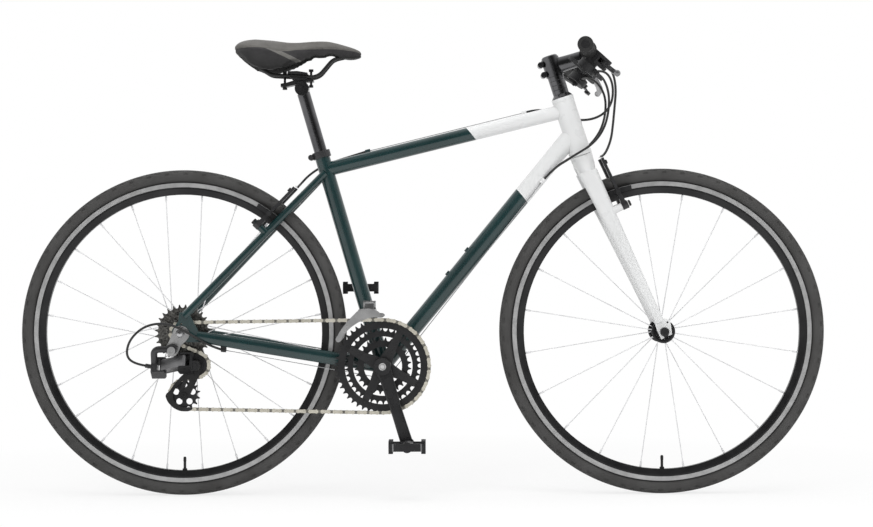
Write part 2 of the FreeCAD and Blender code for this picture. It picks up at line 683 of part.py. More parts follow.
front_gap, rear_gap = dim.front_old / 2, dim.rear_old / 2
nodes["front_axle"] = axle("front_axle", front, front_gap, dim.fork_end_thickness,
                           dim.front_old / 2 - flange - 6.3, dim.front_old / 2 - flange - 6.3)
nodes["rear_axle"] = axle("rear_axle", rear, rear_gap, dim.dropout_thickness,
                          dim.rear_old / 2 - left_y - 8.3, dim.rear_old / 2 - dim.chain_plane - 4.3)


# The chain line: where the chain runs, and how its rollers fall on the sprockets

def pitch_radius(teeth):
    return float(dim.chain_pitch) / (2 * math.sin(math.pi / teeth))


def chain_path(cage_turn):
    """The four sprockets the chain passes, as centre, radius and hand, for one cage angle."""
    guide = rear + Vector(float(dim.guide_x), 0, -float(dim.guide_z))
    reach = float(dim.cage_length)
    tension = guide + Vector(reach * math.sin(cage_turn), 0, -reach * math.cos(cage_turn))
    return [(shell, pitch_radius(int(dim.ring_teeth)), -1),
            (tension, pitch_radius(int(dim.tension_teeth)), -1),
            (guide, pitch_radius(int(dim.guide_teeth)), 1),
            (rear, pitch_radius(COGS[0]), -1)]


def path_runs(stops):
    """Straight runs and arcs in travel order, each as a start length, a length and a point."""
    headings = []
    for index, (centre, radius, hand) in enumerate(stops):
        after, after_r, after_hand = stops[(index + 1) % len(stops)]
        gap = after - centre
        angle = math.atan2(gap.z, gap.x)
        headings.append(angle - math.asin((after_hand * after_r - hand * radius) / gap.Length))
    runs = []
    start = 0
    for index, (centre, radius, hand) in enumerate(stops):
        leave, come = headings[index], headings[index - 1]
        sweep = (leave - come) * hand % (2 * math.pi)
        runs.append(("arc", start, radius * sweep, centre, radius, hand, come))
        start += radius * sweep
        after, after_r, after_hand = stops[(index + 1) % len(stops)]
        way = Vector(math.cos(leave), 0, math.sin(leave))
        left = Vector(-way.z, 0, way.x)
        first = centre - left * (hand * radius)
        last = after - left * (after_hand * after_r)
        runs.append(("line", start, (last - first).Length, first, way))
        start += (last - first).Length
    return runs, start


def path_point(runs, total, distance):
    distance %= total
    for run in runs:
        if distance <= run[1] + run[2] or run is runs[-1]:
            part = distance - run[1]
            if run[0] == "line":
                return run[3] + run[4] * part
            centre, radius, hand, heading = run[3:]
            turn = heading + hand * part / radius
            return centre + Vector(math.sin(turn), 0, -math.cos(turn)) * (hand * radius)
    return None


def walk_chain(cage_turn, count):
    """Rollers one pitch apart along the chain, and how far the last overshoots the first."""
    runs, total = path_runs(chain_path(cage_turn))
    pitch = float(dim.chain_pitch)
    distance = 0
    rollers = [path_point(runs, total, 0)]
    for _ in range(count):
        low, high = distance + pitch * 0.99, distance + pitch * 1.08
        for _ in range(34):
            middle = (low + high) / 2
            if (path_point(runs, total, middle) - rollers[-1]).Length < pitch:
                low = middle
            else:
                high = middle
        distance = high
        rollers.append(path_point(runs, total, distance))
    return rollers[:-1], distance - total


def close_chain():
    """Turns the cage until an even number of links closes the loop."""
    start = math.radians(-27)
    length = path_runs(chain_path(start))[1]
    count = 2 * round(length / float(dim.chain_pitch) / 2)
    low, high = start - 0.4, start + 0.5
    low_error = walk_chain(low, count)[1]
    for _ in range(26):
        middle = (low + high) / 2
        error = walk_chain(middle, count)[1]
        if (error > 0) == (low_error > 0):
            low = middle
        else:
            high = middle
    return middle, walk_chain(middle, count)[0]


cage_turn, rollers = close_chain()
ring_stop, tension_stop, guide_stop, cog_stop = chain_path(cage_turn)
guide, tension = guide_stop[0], tension_stop[0]
chain_y = -float(dim.chain_plane)


def seat_phase(centre, radius):
    """The angle of a chain roller that rests on a sprocket."""
    resting = [p for p in rollers if abs((p - centre).Length - radius) < 0.004]
    lean = resting[len(resting) // 2] - centre
    return math.atan2(lean.z, lean.x)


def sprocket(teeth, width, bore, centre, y, phase):
    """A toothed wheel: a round seat for each roller and a pointed tooth between two seats."""
    radius = pitch_radius(teeth)
    seat = float(dim.roller_r) + 0.22
    corners = []
    for index in range(teeth):
        angle = phase + 2 * math.pi * index / teeth
        out = Vector(math.cos(angle), math.sin(angle), 0)
        side = Vector(-out.y, out.x, 0)
        middle = out * radius
        for hand in (-1, 1):
            flank = middle - out * (seat * 0.5) + side * (hand * seat * 0.866)
            corners.append((flank, middle - out * seat) if hand < 0 else (flank,))
        tip_angle = angle + math.pi / teeth
        tip = Vector(math.cos(tip_angle), math.sin(tip_angle), 0)
        tip_side = Vector(-tip.y, tip.x, 0)
        for hand in (-1, 1):
            corners.append((tip * (radius + 3) + tip_side * (hand * 0.9),))
    outline = [(c[0].x, c[0].y) + (((c[1].x, c[1].y),) if len(c) > 1 else ()) for c in corners]
    flat = Placement(centre + Y * y, Rotation(X, 90))
    return plate(outline, flat, width).cut(
        Part.makeCylinder(bore, 40, centre + Y * (y - 20), Y))


def chain_plate(y, depth):
    """One side plate of a link, waisted between its two ends."""
    half_pitch, end_r = float(dim.chain_pitch) / 2, 4.1
    neck_x, neck_z = end_r * math.cos(math.radians(125)), end_r * math.sin(math.radians(125))
    outline = [(half_pitch + neck_x, -neck_z, (half_pitch + end_r, 0)),
               (half_pitch + neck_x, neck_z), (-half_pitch - neck_x, neck_z, (-half_pitch - end_r, 0)),
               (-half_pitch - neck_x, -neck_z)]
    return plate(outline, Placement(Y * y, Rotation(X, 90)), depth)


def pins(radius, half_length):
    half_pitch = float(dim.chain_pitch) / 2
    return [Part.makeCylinder(radius, 2 * half_length, Vector(x, -half_length, 0), Y)
            for x in (-half_pitch, half_pitch)]


outer_link = chain_plate(-2.8, 1).multiFuse([chain_plate(2.8, 1)] + pins(1.8, 3.6))
inner_link = chain_plate(-1.7, 1).multiFuse([chain_plate(1.7, 1)] + pins(float(dim.roller_r), 1.25))
for pin in pins(1.9, 5):
    inner_link = inner_link.cut(pin)
links = {"outer": [], "inner": []}
for index, point in enumerate(rollers):
    after = rollers[(index + 1) % len(rollers)]
    link = (outer_link if index % 2 else inner_link).copy()
    way = after - point
    link.Placement = Placement((point + after) / 2 + Y * chain_y,
                               Rotation(Y, -math.degrees(math.atan2(way.z, way.x))))
    links["outer" if index % 2 else "inner"].append(link)
nodes["chain_outer_links"] = shaped("chain_outer_links", Part.makeCompound(links["outer"]))
nodes["chain_inner_links"] = shaped("chain_inner_links", Part.makeCompound(links["inner"]))


# Crankset: spindle in its cartridge, two cranks, three chainrings and the pedals

def rounded_section(centre, u_way, v_way, half_u, half_v, corner):
    """A rectangular wire with round corners."""
    points = []
    for su, sv in ((1, 1), (-1, 1), (-1, -1), (1, -1)):
        heart = centre + u_way * (su * (half_u - corner)) + v_way * (sv * (half_v - corner))
        ends = [heart + u_way * (su * corner), heart + v_way * (sv * corner)]
        if su * sv < 0:
            ends.reverse()
        middle = heart + (u_way * su + v_way * sv) * (corner * math.sqrt(0.5))
        points.append((ends[0], middle, ends[1]))
    edges = []
    for index, (start, middle, end) in enumerate(points):
        edges.append(Part.Arc(start, middle, end).toShape())
        edges.append(Part.LineSegment(end, points[(index + 1) % 4][0]).toShape())
    return Part.Wire(edges)


shell_half = dim.shell_width / 2
nodes["bottom_bracket"] = turned("bottom_bracket", shell, Y, [
    (-shell_half - 3, 8.56), (-shell_half - 3, 19.5), (-shell_half - 0.05, 19.5),
    (-shell_half - 0.05, dim.shell_bore / 2 - 0.05), (shell_half + 0.05, dim.shell_bore / 2 - 0.05),
    (shell_half + 0.05, 19.5), (shell_half + 3, 19.5), (shell_half + 3, 8.56)])
spindle_half = 66
nodes["crank_spindle"] = turned("crank_spindle", shell, Y, [
    (-spindle_half, 0), (-spindle_half, 7.5), (-45, 8.5), (45, 8.5), (spindle_half, 7.5),
    (spindle_half, 0)])

crank_way = {RIGHT: Vector(math.sin(math.radians(dim.crank_angle)), 0,
                           -math.cos(math.radians(dim.crank_angle)))}
crank_way[LEFT] = -crank_way[RIGHT]
hub_y, eye_y, arm_depth = 72, 81, 14
ring_y = [chain_y + float(dim.ring_pitch) * n for n in range(3)]
half_ring = float(dim.sprocket_width) / 2


def crank_arm(side):
    """A crank: a boss on the spindle, a tapering arm that sweeps out, and an eye for the pedal."""
    way = crank_way[side]
    across = way.cross(Y)
    out = Y * side
    sections = []
    for share, y, wide, deep in ((0, hub_y, 17, 8), (0.2, 74, 14, 7.5), (0.6, 78.5, 12, 7),
                                 (1, eye_y, 13, 7)):
        sections.append(rounded_section(shell + way * (float(dim.crank_length) * share) + out * y,
                                        across, Y, wide, deep, 4))
    arm = Part.makeLoft(sections, True, True)
    eye_at = shell + way * float(dim.crank_length)
    eye = Part.makeCylinder(15.5, arm_depth, eye_at + out * (eye_y - arm_depth / 2), out)
    boss = Part.makeCylinder(18, 34, shell + out * 50, out)
    made = arm.multiFuse([eye, boss])
    bore = Part.makeCone(8.55, 7.55, 21.1, shell + out * 45, out)
    eye_bore = Part.makeCylinder(7.02, 30, eye_at + out * (eye_y - 15), out)
    bolt_hole = Part.makeCylinder(6, 20, shell + out * 76, out)
    return made.cut(bore).cut(eye_bore).cut(bolt_hole)


def spider():
    """Four arms at half right angles to the crank, each with pillars for the small ring."""
    outer_face, inner_face = ring_y[0] + half_ring, ring_y[1] - half_ring
    depth = inner_face - outer_face
    middle = (outer_face + inner_face) / 2
    reach = float(dim.spider_r)
    arms = []
    for turn in (45, 135, 225, 315):
        way = Rotation(Y, turn).multVec(crank_way[RIGHT])
        flat = axes(shell + Y * middle, way, way.cross(Y))
        arms.append(plate([(8, -15), (40, -9.5), (reach, -7.5, (reach + 6, 0)), (reach, 7.5),
                           (40, 9.5), (8, 15)], flat, depth))
        pillar = ring_y[2] - half_ring - inner_face
        arms.append(Part.makeCylinder(5, pillar + 1, shell + way * 47 + Y * (inner_face - 1), Y))
    return arms


def pedal_spindle(side):
    """A pedal's steel spindle, screwed through the eye of its crank."""
    start = shell + crank_way[side] * float(dim.crank_length) + Y * side * (eye_y - arm_depth / 2)
    return turned(f"pedal_spindle_{side + 1}", start, Y * side, [
        (0, 0), (0, 7), (arm_depth + 0.1, 7), (arm_depth + 0.1, 8), (arm_depth + 4, 8),
        (arm_depth + 4, 5), (arm_depth + 4 + dim.pedal_width - 4, 5),
        (arm_depth + 4 + dim.pedal_width - 4, 0)])


right_arm = crank_arm(RIGHT).multiFuse(spider()).cut(
    Part.makeCone(8.55, 7.55, 21.1, shell - Y * 45, -Y)).removeSplitter()
bolts = {side: turned(f"crank_bolt_{side + 1}", shell + Y * side * 76.05, Y * side, [
    (0, 0), (0, 5.9), (5, 5.9), (6.5, 4.5), (6.5, 0)]) for side in (LEFT, RIGHT)}
nodes["right_crank"] = grouped("right_crank", shaped("right_crank_arm", right_arm),
                               pedal_spindle(RIGHT), bolts[RIGHT])
nodes["left_crank"] = grouped("left_crank", shaped("left_crank_arm",
                                                   crank_arm(LEFT).removeSplitter()),
                              pedal_spindle(LEFT), bolts[LEFT])

ring_phase = seat_phase(shell, ring_stop[1])
rings = []
for index, (teeth, bore) in enumerate(((int(dim.ring_teeth), 79), (int(dim.middle_teeth), 62),
                                       (int(dim.small_teeth), 40))):
    ring = sprocket(teeth, float(dim.sprocket_width), bore, shell, ring_y[index], ring_phase)
    rings.append(shaped(f"chainring_{teeth}", ring))
for turn in (45, 135, 225, 315):
    way = Rotation(Y, turn).multVec(crank_way[RIGHT])
    head = cylinder(f"ring_rivet_{turn}", 4, 1.6, shell + way * 83.5 + Y * (ring_y[0] - half_ring),
                    -Y)
    rings.append(head)
nodes["chainrings"] = grouped("chainrings", *rings)


def pedal(name, side):
    """A platform pedal: a barrel on the spindle inside a cage with tread bars front and back."""
    start = eye_y + arm_depth / 2 + 5
    width, length, height = (float(n) for n in (dim.pedal_width, dim.pedal_length, dim.pedal_height))
    hub = shell + crank_way[side] * float(dim.crank_length)
    origin = hub + Y * (side * (start + width / 2))
    frame_bar = Part.makeBox(length, width, height * 0.62,
                             origin + Vector(-length / 2, -width / 2, -height * 0.31))
    treads = [Part.makeBox(9, width - 8, height, origin + Vector(x, 4 - width / 2, -height / 2))
              for x in (-length / 2, length / 2 - 9)]
    barrel = Part.makeCylinder(11, width, origin - Y * (width / 2), Y)
    body = frame_bar.multiFuse(treads)
    for x in (-length / 2 + 9, 12):
        body = body.cut(Part.makeBox(length / 2 - 21, width - 14, height * 2,
                                     origin + Vector(x, 7 - width / 2, -height)))
    for n in range(4):
        y = -width / 2 + 9 + n * (width - 18) / 3
        for z in (-height / 2, height / 2):
            body = body.cut(Part.makeCylinder(4, length * 2, origin + Vector(-length, y, z), X))
    body = body.fuse(barrel)
    bore = Part.makeCylinder(5 + RUNNING_GAP, width - 3.7, origin - Y * (side * (width / 2 + 1)), Y * side)
    return shaped(name, body.cut(bore).removeSplitter())


nodes["right_pedal"] = pedal("right_pedal", RIGHT)
nodes["left_pedal"] = pedal("left_pedal", LEFT)


# Cassette: eight cogs and their spacers on the freehub body

cog_phase = seat_phase(rear, cog_stop[1])
hub_r = 17
cassette = []
for index, teeth in enumerate(COGS):
    y = chain_y + float(dim.cog_pitch) * index
    cassette.append(shaped(f"cog_{teeth}", sprocket(teeth, float(dim.sprocket_width), hub_r + 0.03,
                                                    rear, y, cog_phase)))
    if index:
        outer_r = min(pitch_radius(COGS[index - 1]) - 5, 27)
        cassette.append(turned(f"cog_spacer_{index}", rear + Y * (y - half_ring), -Y, [
            (0, hub_r + 0.03), (0, outer_r), (dim.cog_pitch - 2 * half_ring, outer_r),
            (dim.cog_pitch - 2 * half_ring, hub_r + 0.03)]))
freehub_end = chain_y - 4.2
freehub_start = -float(dim.rear_flange_right_y) - 4.3
cassette.append(turned("freehub_body", rear, Y, [
    (freehub_end, dim.axle_r + RUNNING_GAP), (freehub_end, 16.5), (chain_y - half_ring, 16.5),
    (chain_y - half_ring, hub_r), (freehub_start - 1, hub_r), (freehub_start, 15.5),
    (freehub_start, dim.axle_r + RUNNING_GAP)]))
nodes["cassette"] = grouped("cassette", *cassette)


# Rear derailleur: a slanted parallelogram that carries the cage and its two pulleys

slant = math.radians(dim.derailleur_slant)
link_axis = Vector(0, math.sin(slant), math.cos(slant))
travel_way = Vector(0, math.cos(slant), -math.sin(slant))
link_reach = float(dim.link_length)
link_lean = math.asin(float(dim.derailleur_travel) / 2 / link_reach)
link_way = X * math.cos(link_lean) - travel_way * math.sin(link_lean)
knuckle_pivot = guide + Vector(-23, -84, 5)
body_pivot = knuckle_pivot - link_way * link_reach
pivot_pin_r, link_half = 2.5, 7.5
link_tall = {"outer": 26, "inner": 16}
link_side = {"outer": -1, "inner": 1}


def derailleur_link(name, kind):
    """A link: a round bore at its fixed end and a slotted eye at the moving end."""
    tall = link_tall[kind]
    foot = body_pivot + travel_way * (link_side[kind] * link_half)
    flat = axes(foot, link_way, link_axis.cross(link_way))
    whole = plate(slot_outline(link_reach, 5.6), flat, tall)
    bore = Part.makeCylinder(pivot_pin_r + RUNNING_GAP, 60, foot - link_axis * 30, link_axis)
    slot_at = axes(foot + link_way * (link_reach - 5), link_way, link_axis.cross(link_way))
    slot = plate(slot_outline(5.3, pivot_pin_r + 0.5), slot_at, 60)
    return shaped(name, whole.cut(bore).cut(slot))


def link_ears(centre, forward):
    """Two ears above and below the links, with the two pins between them."""
    gap = link_tall["outer"] / 2 + 0.6
    made = []
    flat = axes(centre, X, travel_way)
    for hand in (-1, 1):
        ear = [(-8, -15), (19, -15), (19, 15), (-8, 15, (-12, 0))]
        if not forward:
            ear = [(-13, -15), (4, -15, (9, 0)), (4, 15), (-13, 15)]
        leaf = plate(ear, Placement(), 4)
        leaf.Placement = flat.multiply(Placement(Vector(0, 0, hand * (gap + 2)), Rotation()))
        made.append(leaf)
    for hand in (-1, 1):
        foot = centre + travel_way * (hand * link_half)
        made.append(Part.makeCylinder(pivot_pin_r, 2 * gap + 2, foot - link_axis * (gap + 1), link_axis))
    return made, gap


ears, gap = link_ears(body_pivot, False)
flat = axes(body_pivot, X, travel_way)
web = Part.makeBox(13, 30, 2 * gap + 8, Vector(-23, -15, -gap - 4))
web.Placement = flat
hanger_point = rear + Vector(-16, 0, -32)
dropout_face = -stay_y - float(dim.dropout_thickness) / 2
knuckle = Part.makeCylinder(11, 20, hanger_point + Y * (dropout_face - 0.05), -Y)
hanger_bolt = Part.makeCylinder(5, 30, hanger_point + Y * (dropout_face - 20), Y)
bolt_head = Part.makeCylinder(7, 3, hanger_point + Y * (dropout_face - 20), -Y)
strut_foot = body_pivot - X * 17
strut_head = hanger_point + Y * (dropout_face - 14)
strut_turn = Vector(strut_foot.x + 1, strut_head.y, strut_head.z)
strut = rod([strut_foot, strut_turn, strut_head], 7, 12)
adjuster_way = unit(Vector(-0.85, 0, 0.15))
adjuster_foot = body_pivot - X * 20 + travel_way * -4
adjuster = Part.makeCylinder(4.5, 16, adjuster_foot, adjuster_way)
adjuster_end = adjuster_foot + adjuster_way * 16
body = knuckle.multiFuse([hanger_bolt, bolt_head, strut, web, adjuster] + ears).removeSplitter()
nodes["rear_derailleur_body"] = shaped("rear_derailleur_body", body)
nodes["rear_derailleur_outer_link"] = derailleur_link("rear_derailleur_outer_link", "outer")
nodes["rear_derailleur_inner_link"] = derailleur_link("rear_derailleur_inner_link", "inner")

cage_way = unit(tension - guide)
cage_side = Vector(-cage_way.z, 0, cage_way.x)
cage_gap, cage_plate = 5, 1.8


def cage_leaf(y, narrow):
    """A cage plate with a waist and a long window between the two pulleys."""
    flat = axes(guide + Y * y, cage_way, cage_side)
    reach = float(dim.cage_length)
    top_r, low_r = 15 - narrow, 12 - narrow
    outline = [(0, -top_r), (reach, -low_r, (reach + low_r, 0)), (reach, low_r),
               (0, top_r, (-top_r, 0))]
    leaf = plate(outline, flat, cage_plate)
    window_at = axes(guide + Y * y + cage_way * 17, cage_way, cage_side)
    return leaf.cut(plate(slot_outline(reach - 34, 5), window_at, 6))


ears, gap = link_ears(knuckle_pivot, True)
p_knuckle = Part.makeCylinder(11, 34, guide + Y * (chain_y - cage_gap - cage_plate), -Y)
p_bolt = Part.makeCylinder(6, 2.5, guide + Y * (chain_y - cage_gap - cage_plate - 34), -Y)
leaves = [cage_leaf(chain_y - cage_gap - cage_plate / 2, 0),
          cage_leaf(chain_y + cage_gap + cage_plate / 2, 2)]
pulley_pins = [Part.makeCylinder(3, 2 * cage_gap + 2 * cage_plate + 3,
                                 centre + Y * (chain_y - cage_gap - cage_plate - 1.5), Y)
               for centre in (guide, tension)]
front_web = Part.makeBox(6, 30, 2 * gap + 8, Vector(13, -15, -gap - 4))
front_web.Placement = axes(knuckle_pivot, X, travel_way)
cage = p_knuckle.multiFuse([p_bolt, front_web] + leaves + pulley_pins + ears).removeSplitter()
nodes["rear_derailleur_cage"] = shaped("rear_derailleur_cage", cage)


def pulley(name, teeth, stop):
    """A jockey pulley: plastic teeth on a hub that turns on its pin."""
    centre, radius, _ = stop
    wheel = sprocket(teeth, 2, 3 + RUNNING_GAP, centre, chain_y, seat_phase(centre, radius))
    hub = Part.makeCylinder(8, 2 * cage_gap - 0.6, centre + Y * (chain_y - cage_gap + 0.3), Y)
    bore = Part.makeCylinder(3 + RUNNING_GAP, 40, centre + Y * (chain_y - 20), Y)
    return shaped(name, wheel.fuse(hub).cut(bore).removeSplitter())


nodes["guide_pulley"] = pulley("guide_pulley", int(dim.guide_teeth), guide_stop)
nodes["tension_pulley"] = pulley("tension_pulley", int(dim.tension_teeth), tension_stop)


# Front derailleur: a band on the seat tube, a swinging link and the cage over the chain

band_at = 112
band_foot = shell + seat_way * band_at
seat_r = float(dim.seat_tube_d) / 2
band = Part.makeCylinder(seat_r + 3.2, 15, band_foot, seat_way).cut(
    Part.makeCylinder(seat_r + 0.02, 40, band_foot - seat_way * 10, seat_way))
shift_reach = 24
shift_lean = math.asin(float(dim.front_shift_travel) / 2 / shift_reach)
swing_top = shell + Vector(-26, chain_y + 13.5 + float(dim.front_shift_travel) / 2, 128)
swing_way = Vector(0, -math.sin(shift_lean), -math.cos(shift_lean))
swing_low = swing_top + swing_way * shift_reach
arm_start = band_foot + seat_way * 7.5
arm = Part.makeCylinder(7, 6, Vector(arm_start.x, -seat_r - 1, arm_start.z), -Y)
housing = Part.makeBox(26, 8, 18, Vector(swing_top.x - 15, swing_top.y + 12, swing_top.z - 10))
swing_pin = Part.makeCylinder(2.5, 26, swing_top - X * 15, X)
ears = [Part.makeBox(4, 20, 10, Vector(swing_top.x + x, swing_top.y - 5, swing_top.z - 5))
        for x in (-15, 7)]
tie = Part.makeBox(12, 7, 26, Vector(arm_start.x - 6, -seat_r - 7, arm_start.z - 6))
front_body = band.multiFuse([arm, housing, swing_pin, tie] + ears).cut(
    Part.makeCylinder(seat_r + 0.02, 60, band_foot - seat_way * 20, seat_way)).removeSplitter()
nodes["front_derailleur_body"] = shaped("front_derailleur_body", front_body)

swing = plate(slot_outline(shift_reach, 5.4), Placement(), 17)
swing.Placement = axes(swing_top - X * 2, swing_way, X.cross(swing_way))
swing = swing.cut(Part.makeCylinder(2.5 + RUNNING_GAP, 60, swing_top - X * 30, X))
swing = swing.cut(Part.makeCylinder(2.5 + 1.5, 60, swing_low - X * 30, X))
nodes["front_derailleur_link"] = shaped("front_derailleur_link", swing)


def ring_sector(centre, y, inner_r, outer_r, start, sweep, depth):
    """Part of a flat ring round a wheel axis, its start measured from the top towards the front."""
    ring = Part.makeCylinder(outer_r, depth, centre + Y * (y - depth / 2), Y, sweep)
    core = Part.makeCylinder(inner_r, depth * 3, centre + Y * (y - depth * 1.5), Y)
    made = ring.cut(core)
    made.rotate(centre, Y, start)
    return made


outer_y, inner_y = chain_y - 6.3, chain_y + 6.3
leaf_depth = 1.6
cage = ring_sector(shell, outer_y, 104, 122, -62, 70, leaf_depth)
cage = cage.multiFuse([
    ring_sector(shell, inner_y, 104, 122, -60, 68, leaf_depth),
    ring_sector(shell, chain_y, 113, 121, -3, 8, inner_y - outer_y),
    ring_sector(shell, chain_y, 107, 119, -61.5, 3, inner_y - outer_y),
    Part.makeCylinder(2.5, 26, swing_low - X * 15, X)] + [
    Part.makeBox(4, 13, 9, Vector(swing_low.x + x, inner_y, swing_low.z - 4.5))
    for x in (-15, 7)]).removeSplitter()
swing_pocket = Part.makeBox(17.8, 4, 30, Vector(swing_low.x - 10.9, inner_y - 2, swing_low.z - 1))
cage = cage.cut(swing_pocket.cut(Part.makeCylinder(2.5, 26, swing_low - X * 15, X)))
nodes["front_derailleur_cage"] = shaped("front_derailleur_cage", cage)


# Fork: steerer and crown in one piece, two blades with brake posts, and the fork ends

head_base = crown - head_way * float(dim.crown_drop)
blade_way = unit(head_base - front)
blade_ahead = Vector(blade_way.z, 0, -blade_way.x)
steerer_r = float(dim.steerer_d) / 2
steerer_top = head_high + head_way * (float(dim.cover_height + dim.spacer_stack + dim.stem_height) - 3)
head_r = float(dim.head_tube_d) / 2
crown_sections = [Part.Wire(Part.makeCircle(head_r + 1, crown, head_way))]
for drop, wide, deep in ((14, 36, 23), (float(dim.crown_drop), 46.5, 20.5)):
    crown_sections.append(oval(crown - head_way * drop, Y, head_ahead, wide, deep))
crown_block = Part.makeLoft(crown_sections, True)
arch = Part.makeCylinder(19, 80, head_base - head_way * 2 - head_ahead * 40, head_ahead)
steerer = Part.makeCylinder(steerer_r, (steerer_top - crown).Length + 20, crown - head_way * 20,
                            head_way)
steerer_core = Part.makeCylinder(steerer_r - 2.4, (steerer_top - crown).Length + 60,
                                 crown + head_way * 4, head_way)
race = Part.makeCone(head_r + 1, head_r - 3.4, 0.8, crown, head_way)
crown_piece = crown_block.multiFuse([steerer, race]).cut(arch).cut(steerer_core).removeSplitter()
nodes["fork_crown"] = shaped("fork_crown", crown_piece)

front_brake_along = 274
front_brake_plane = 40


def blade_point(side, distance):
    """A point on a blade's centre line, measured from the axle in side view."""
    share = distance / (head_base - front).Length
    end_y = float(dim.front_old + dim.fork_end_thickness) / 2
    return front + blade_way * distance + Y * side * (end_y + (float(dim.blade_y) - end_y) * share)


def blade(side):
    """A fork blade: an oval that grows towards the crown, with the brake post on its front."""
    sections = []
    full = (head_base - front).Length
    tip_u, tip_v = float(dim.blade_tip_width) / 2, float(dim.blade_tip_depth) / 2
    top_u, top_v = float(dim.blade_width) / 2, float(dim.blade_depth) / 2
    for distance, share in ((22, 0), (130, 0.22), (250, 0.58)):
        sections.append(oval(blade_point(side, distance), Y, blade_ahead,
                             tip_u + (top_u - tip_u) * share, tip_v + (top_v - tip_v) * share))
    sections.append(oval(blade_point(side, full), Y, head_ahead, top_u, top_v))
    return Part.makeLoft(sections, True)


fork_pieces = []
for side in (LEFT, RIGHT):
    tag = "left" if side == LEFT else "right"
    bar_shape = blade(side)
    blade_bar = shaped(f"fork_blade_{tag}_bar", bar_shape)
    foot = front + blade_way * front_brake_along + blade_ahead * 8
    foot = Vector(foot.x, side * float(dim.brake_pivot_y), foot.z)
    post = brake_post(f"front_post_{tag}", foot, blade_ahead, 25.5, 12)
    fork_pieces.append(fused(f"fork_blade_{tag}", blade_bar, post))
    flat = axes(front + Y * side * float(dim.front_old + dim.fork_end_thickness) / 2,
                blade_way, blade_way.cross(Y))
    outline = [(-12, -5.1), (0, -5.1, (5.1, 0)), (0, 5.1), (-12, 5.1), (-12, 12.5),
               (8, 12.5), (24, 10), (24, -14), (16, -21), (8, -19), (-12, -12.5)]
    end_plate = plate(outline, flat, float(dim.fork_end_thickness))
    eyelet = Part.makeCylinder(float(dim.eyelet_bore_r), 40,
                               flat.multVec(Vector(15, -14.5, -20)), flat.Rotation.multVec(Z))
    fork_pieces.append(shaped(f"fork_end_{tag}", end_plate.cut(eyelet).cut(bar_shape)))
nodes["fork_blades"] = grouped("fork_blades", *fork_pieces)


# Headset, spacers and stem

def headset_ring(name, base, way):
    return turned(name, base, way, [
        (0, dim.steerer_d / 2 + RUNNING_GAP), (0, dim.headset_d / 2), (dim.headset_depth - 0.1,
        dim.headset_d / 2), (dim.headset_depth - 0.1, dim.steerer_d / 2 + RUNNING_GAP)])


nodes["headset_bearings"] = grouped(
    "headset_bearings", headset_ring("headset_low", head_low, head_way),
    headset_ring("headset_high", head_high, -head_way))
cover = dim.cover_height
stack = dim.cover_height + dim.spacer_stack
spacers = [turned("headset_cover", head_high + head_way * 0.1, head_way, [
    (0, dim.steerer_d / 2 + 0.02), (0, 22), (2, 22), (cover - 1, dim.spacer_d / 2 + 0.5),
    (cover - 0.1, dim.spacer_d / 2), (cover - 0.1, dim.steerer_d / 2 + 0.02)])]
for index in range(4):
    foot = head_high + head_way * float(cover + dim.spacer_stack / 4 * index)
    spacers.append(turned(f"spacer_{index}", foot, head_way, [
        (0, dim.steerer_d / 2 + 0.02), (0, dim.spacer_d / 2 - 0.5), (0.6, dim.spacer_d / 2),
        (dim.spacer_stack / 4 - 0.6, dim.spacer_d / 2), (dim.spacer_stack / 4, dim.spacer_d / 2 - 0.5),
        (dim.spacer_stack / 4, dim.steerer_d / 2 + 0.02)]))
stem_low = head_high + head_way * float(stack)
stem_top = stem_low + head_way * float(dim.stem_height)
spacers.append(turned("top_cap", stem_top, head_way, [
    (0, 0), (0, 17), (3, 17), (5, 14), (5, 0)]))
nodes["headset_spacers"] = grouped("headset_spacers", *spacers)

stem_middle = stem_low + head_way * float(dim.stem_height) / 2
stem_way = Vector(math.cos(math.radians(dim.stem_rise)), 0, math.sin(math.radians(dim.stem_rise)))
stem_up = Vector(-stem_way.z, 0, stem_way.x)
bar_centre = stem_middle + stem_way * float(dim.stem_length)
clamp_r, bar_clamp_r = float(dim.stem_clamp_d) / 2, float(dim.bar_clamp_d) / 2
clamp_half = 22
collar = Part.makeCylinder(clamp_r, float(dim.stem_height), stem_low, head_way)
beam = Part.makeLoft([oval(stem_middle, Y, stem_up, 15, 18),
                      oval(stem_middle + stem_way * 30, Y, stem_up, 14.5, 16),
                      oval(bar_centre, Y, stem_up, 16, 16)], True)
mouth = Part.makeCylinder(bar_clamp_r + 5, 2 * clamp_half, bar_centre - Y * clamp_half, Y)
lugs = []
for height in (9, 31):
    lug = stem_low + head_way * height - head_ahead * (clamp_r + 4)
    lugs.append(Part.makeCylinder(6.5, 26, lug - Y * 13, Y))
stem_bore = Part.makeCylinder(steerer_r + 0.02, 90, stem_low - head_way * 20, head_way)
bar_bore = Part.makeCylinder(bar_clamp_r + 0.02, 80, bar_centre - Y * 40, Y)
front_half = Part.makeBox(60, 80, 80, Vector(0, -40, -40))
front_half.Placement = axes(bar_centre + stem_way * 0.6, stem_way, Y)
split = Part.makeBox(40, 2.5, 80, Vector(0, -1.25, -40))
split.Placement = axes(stem_middle - head_ahead * (steerer_r + 30), head_ahead, Y)
stem_piece = collar.multiFuse([beam, mouth] + lugs).cut(stem_bore).cut(bar_bore).cut(front_half)
stem_piece = stem_piece.cut(split).removeSplitter()
face_half = Part.makeBox(60, 80, 80, Vector(0, -40, -40))
face_half.Placement = axes(bar_centre + stem_way * 2.2, stem_way, Y)
face_plate = mouth.cut(bar_bore).common(face_half)
face_bolts = []
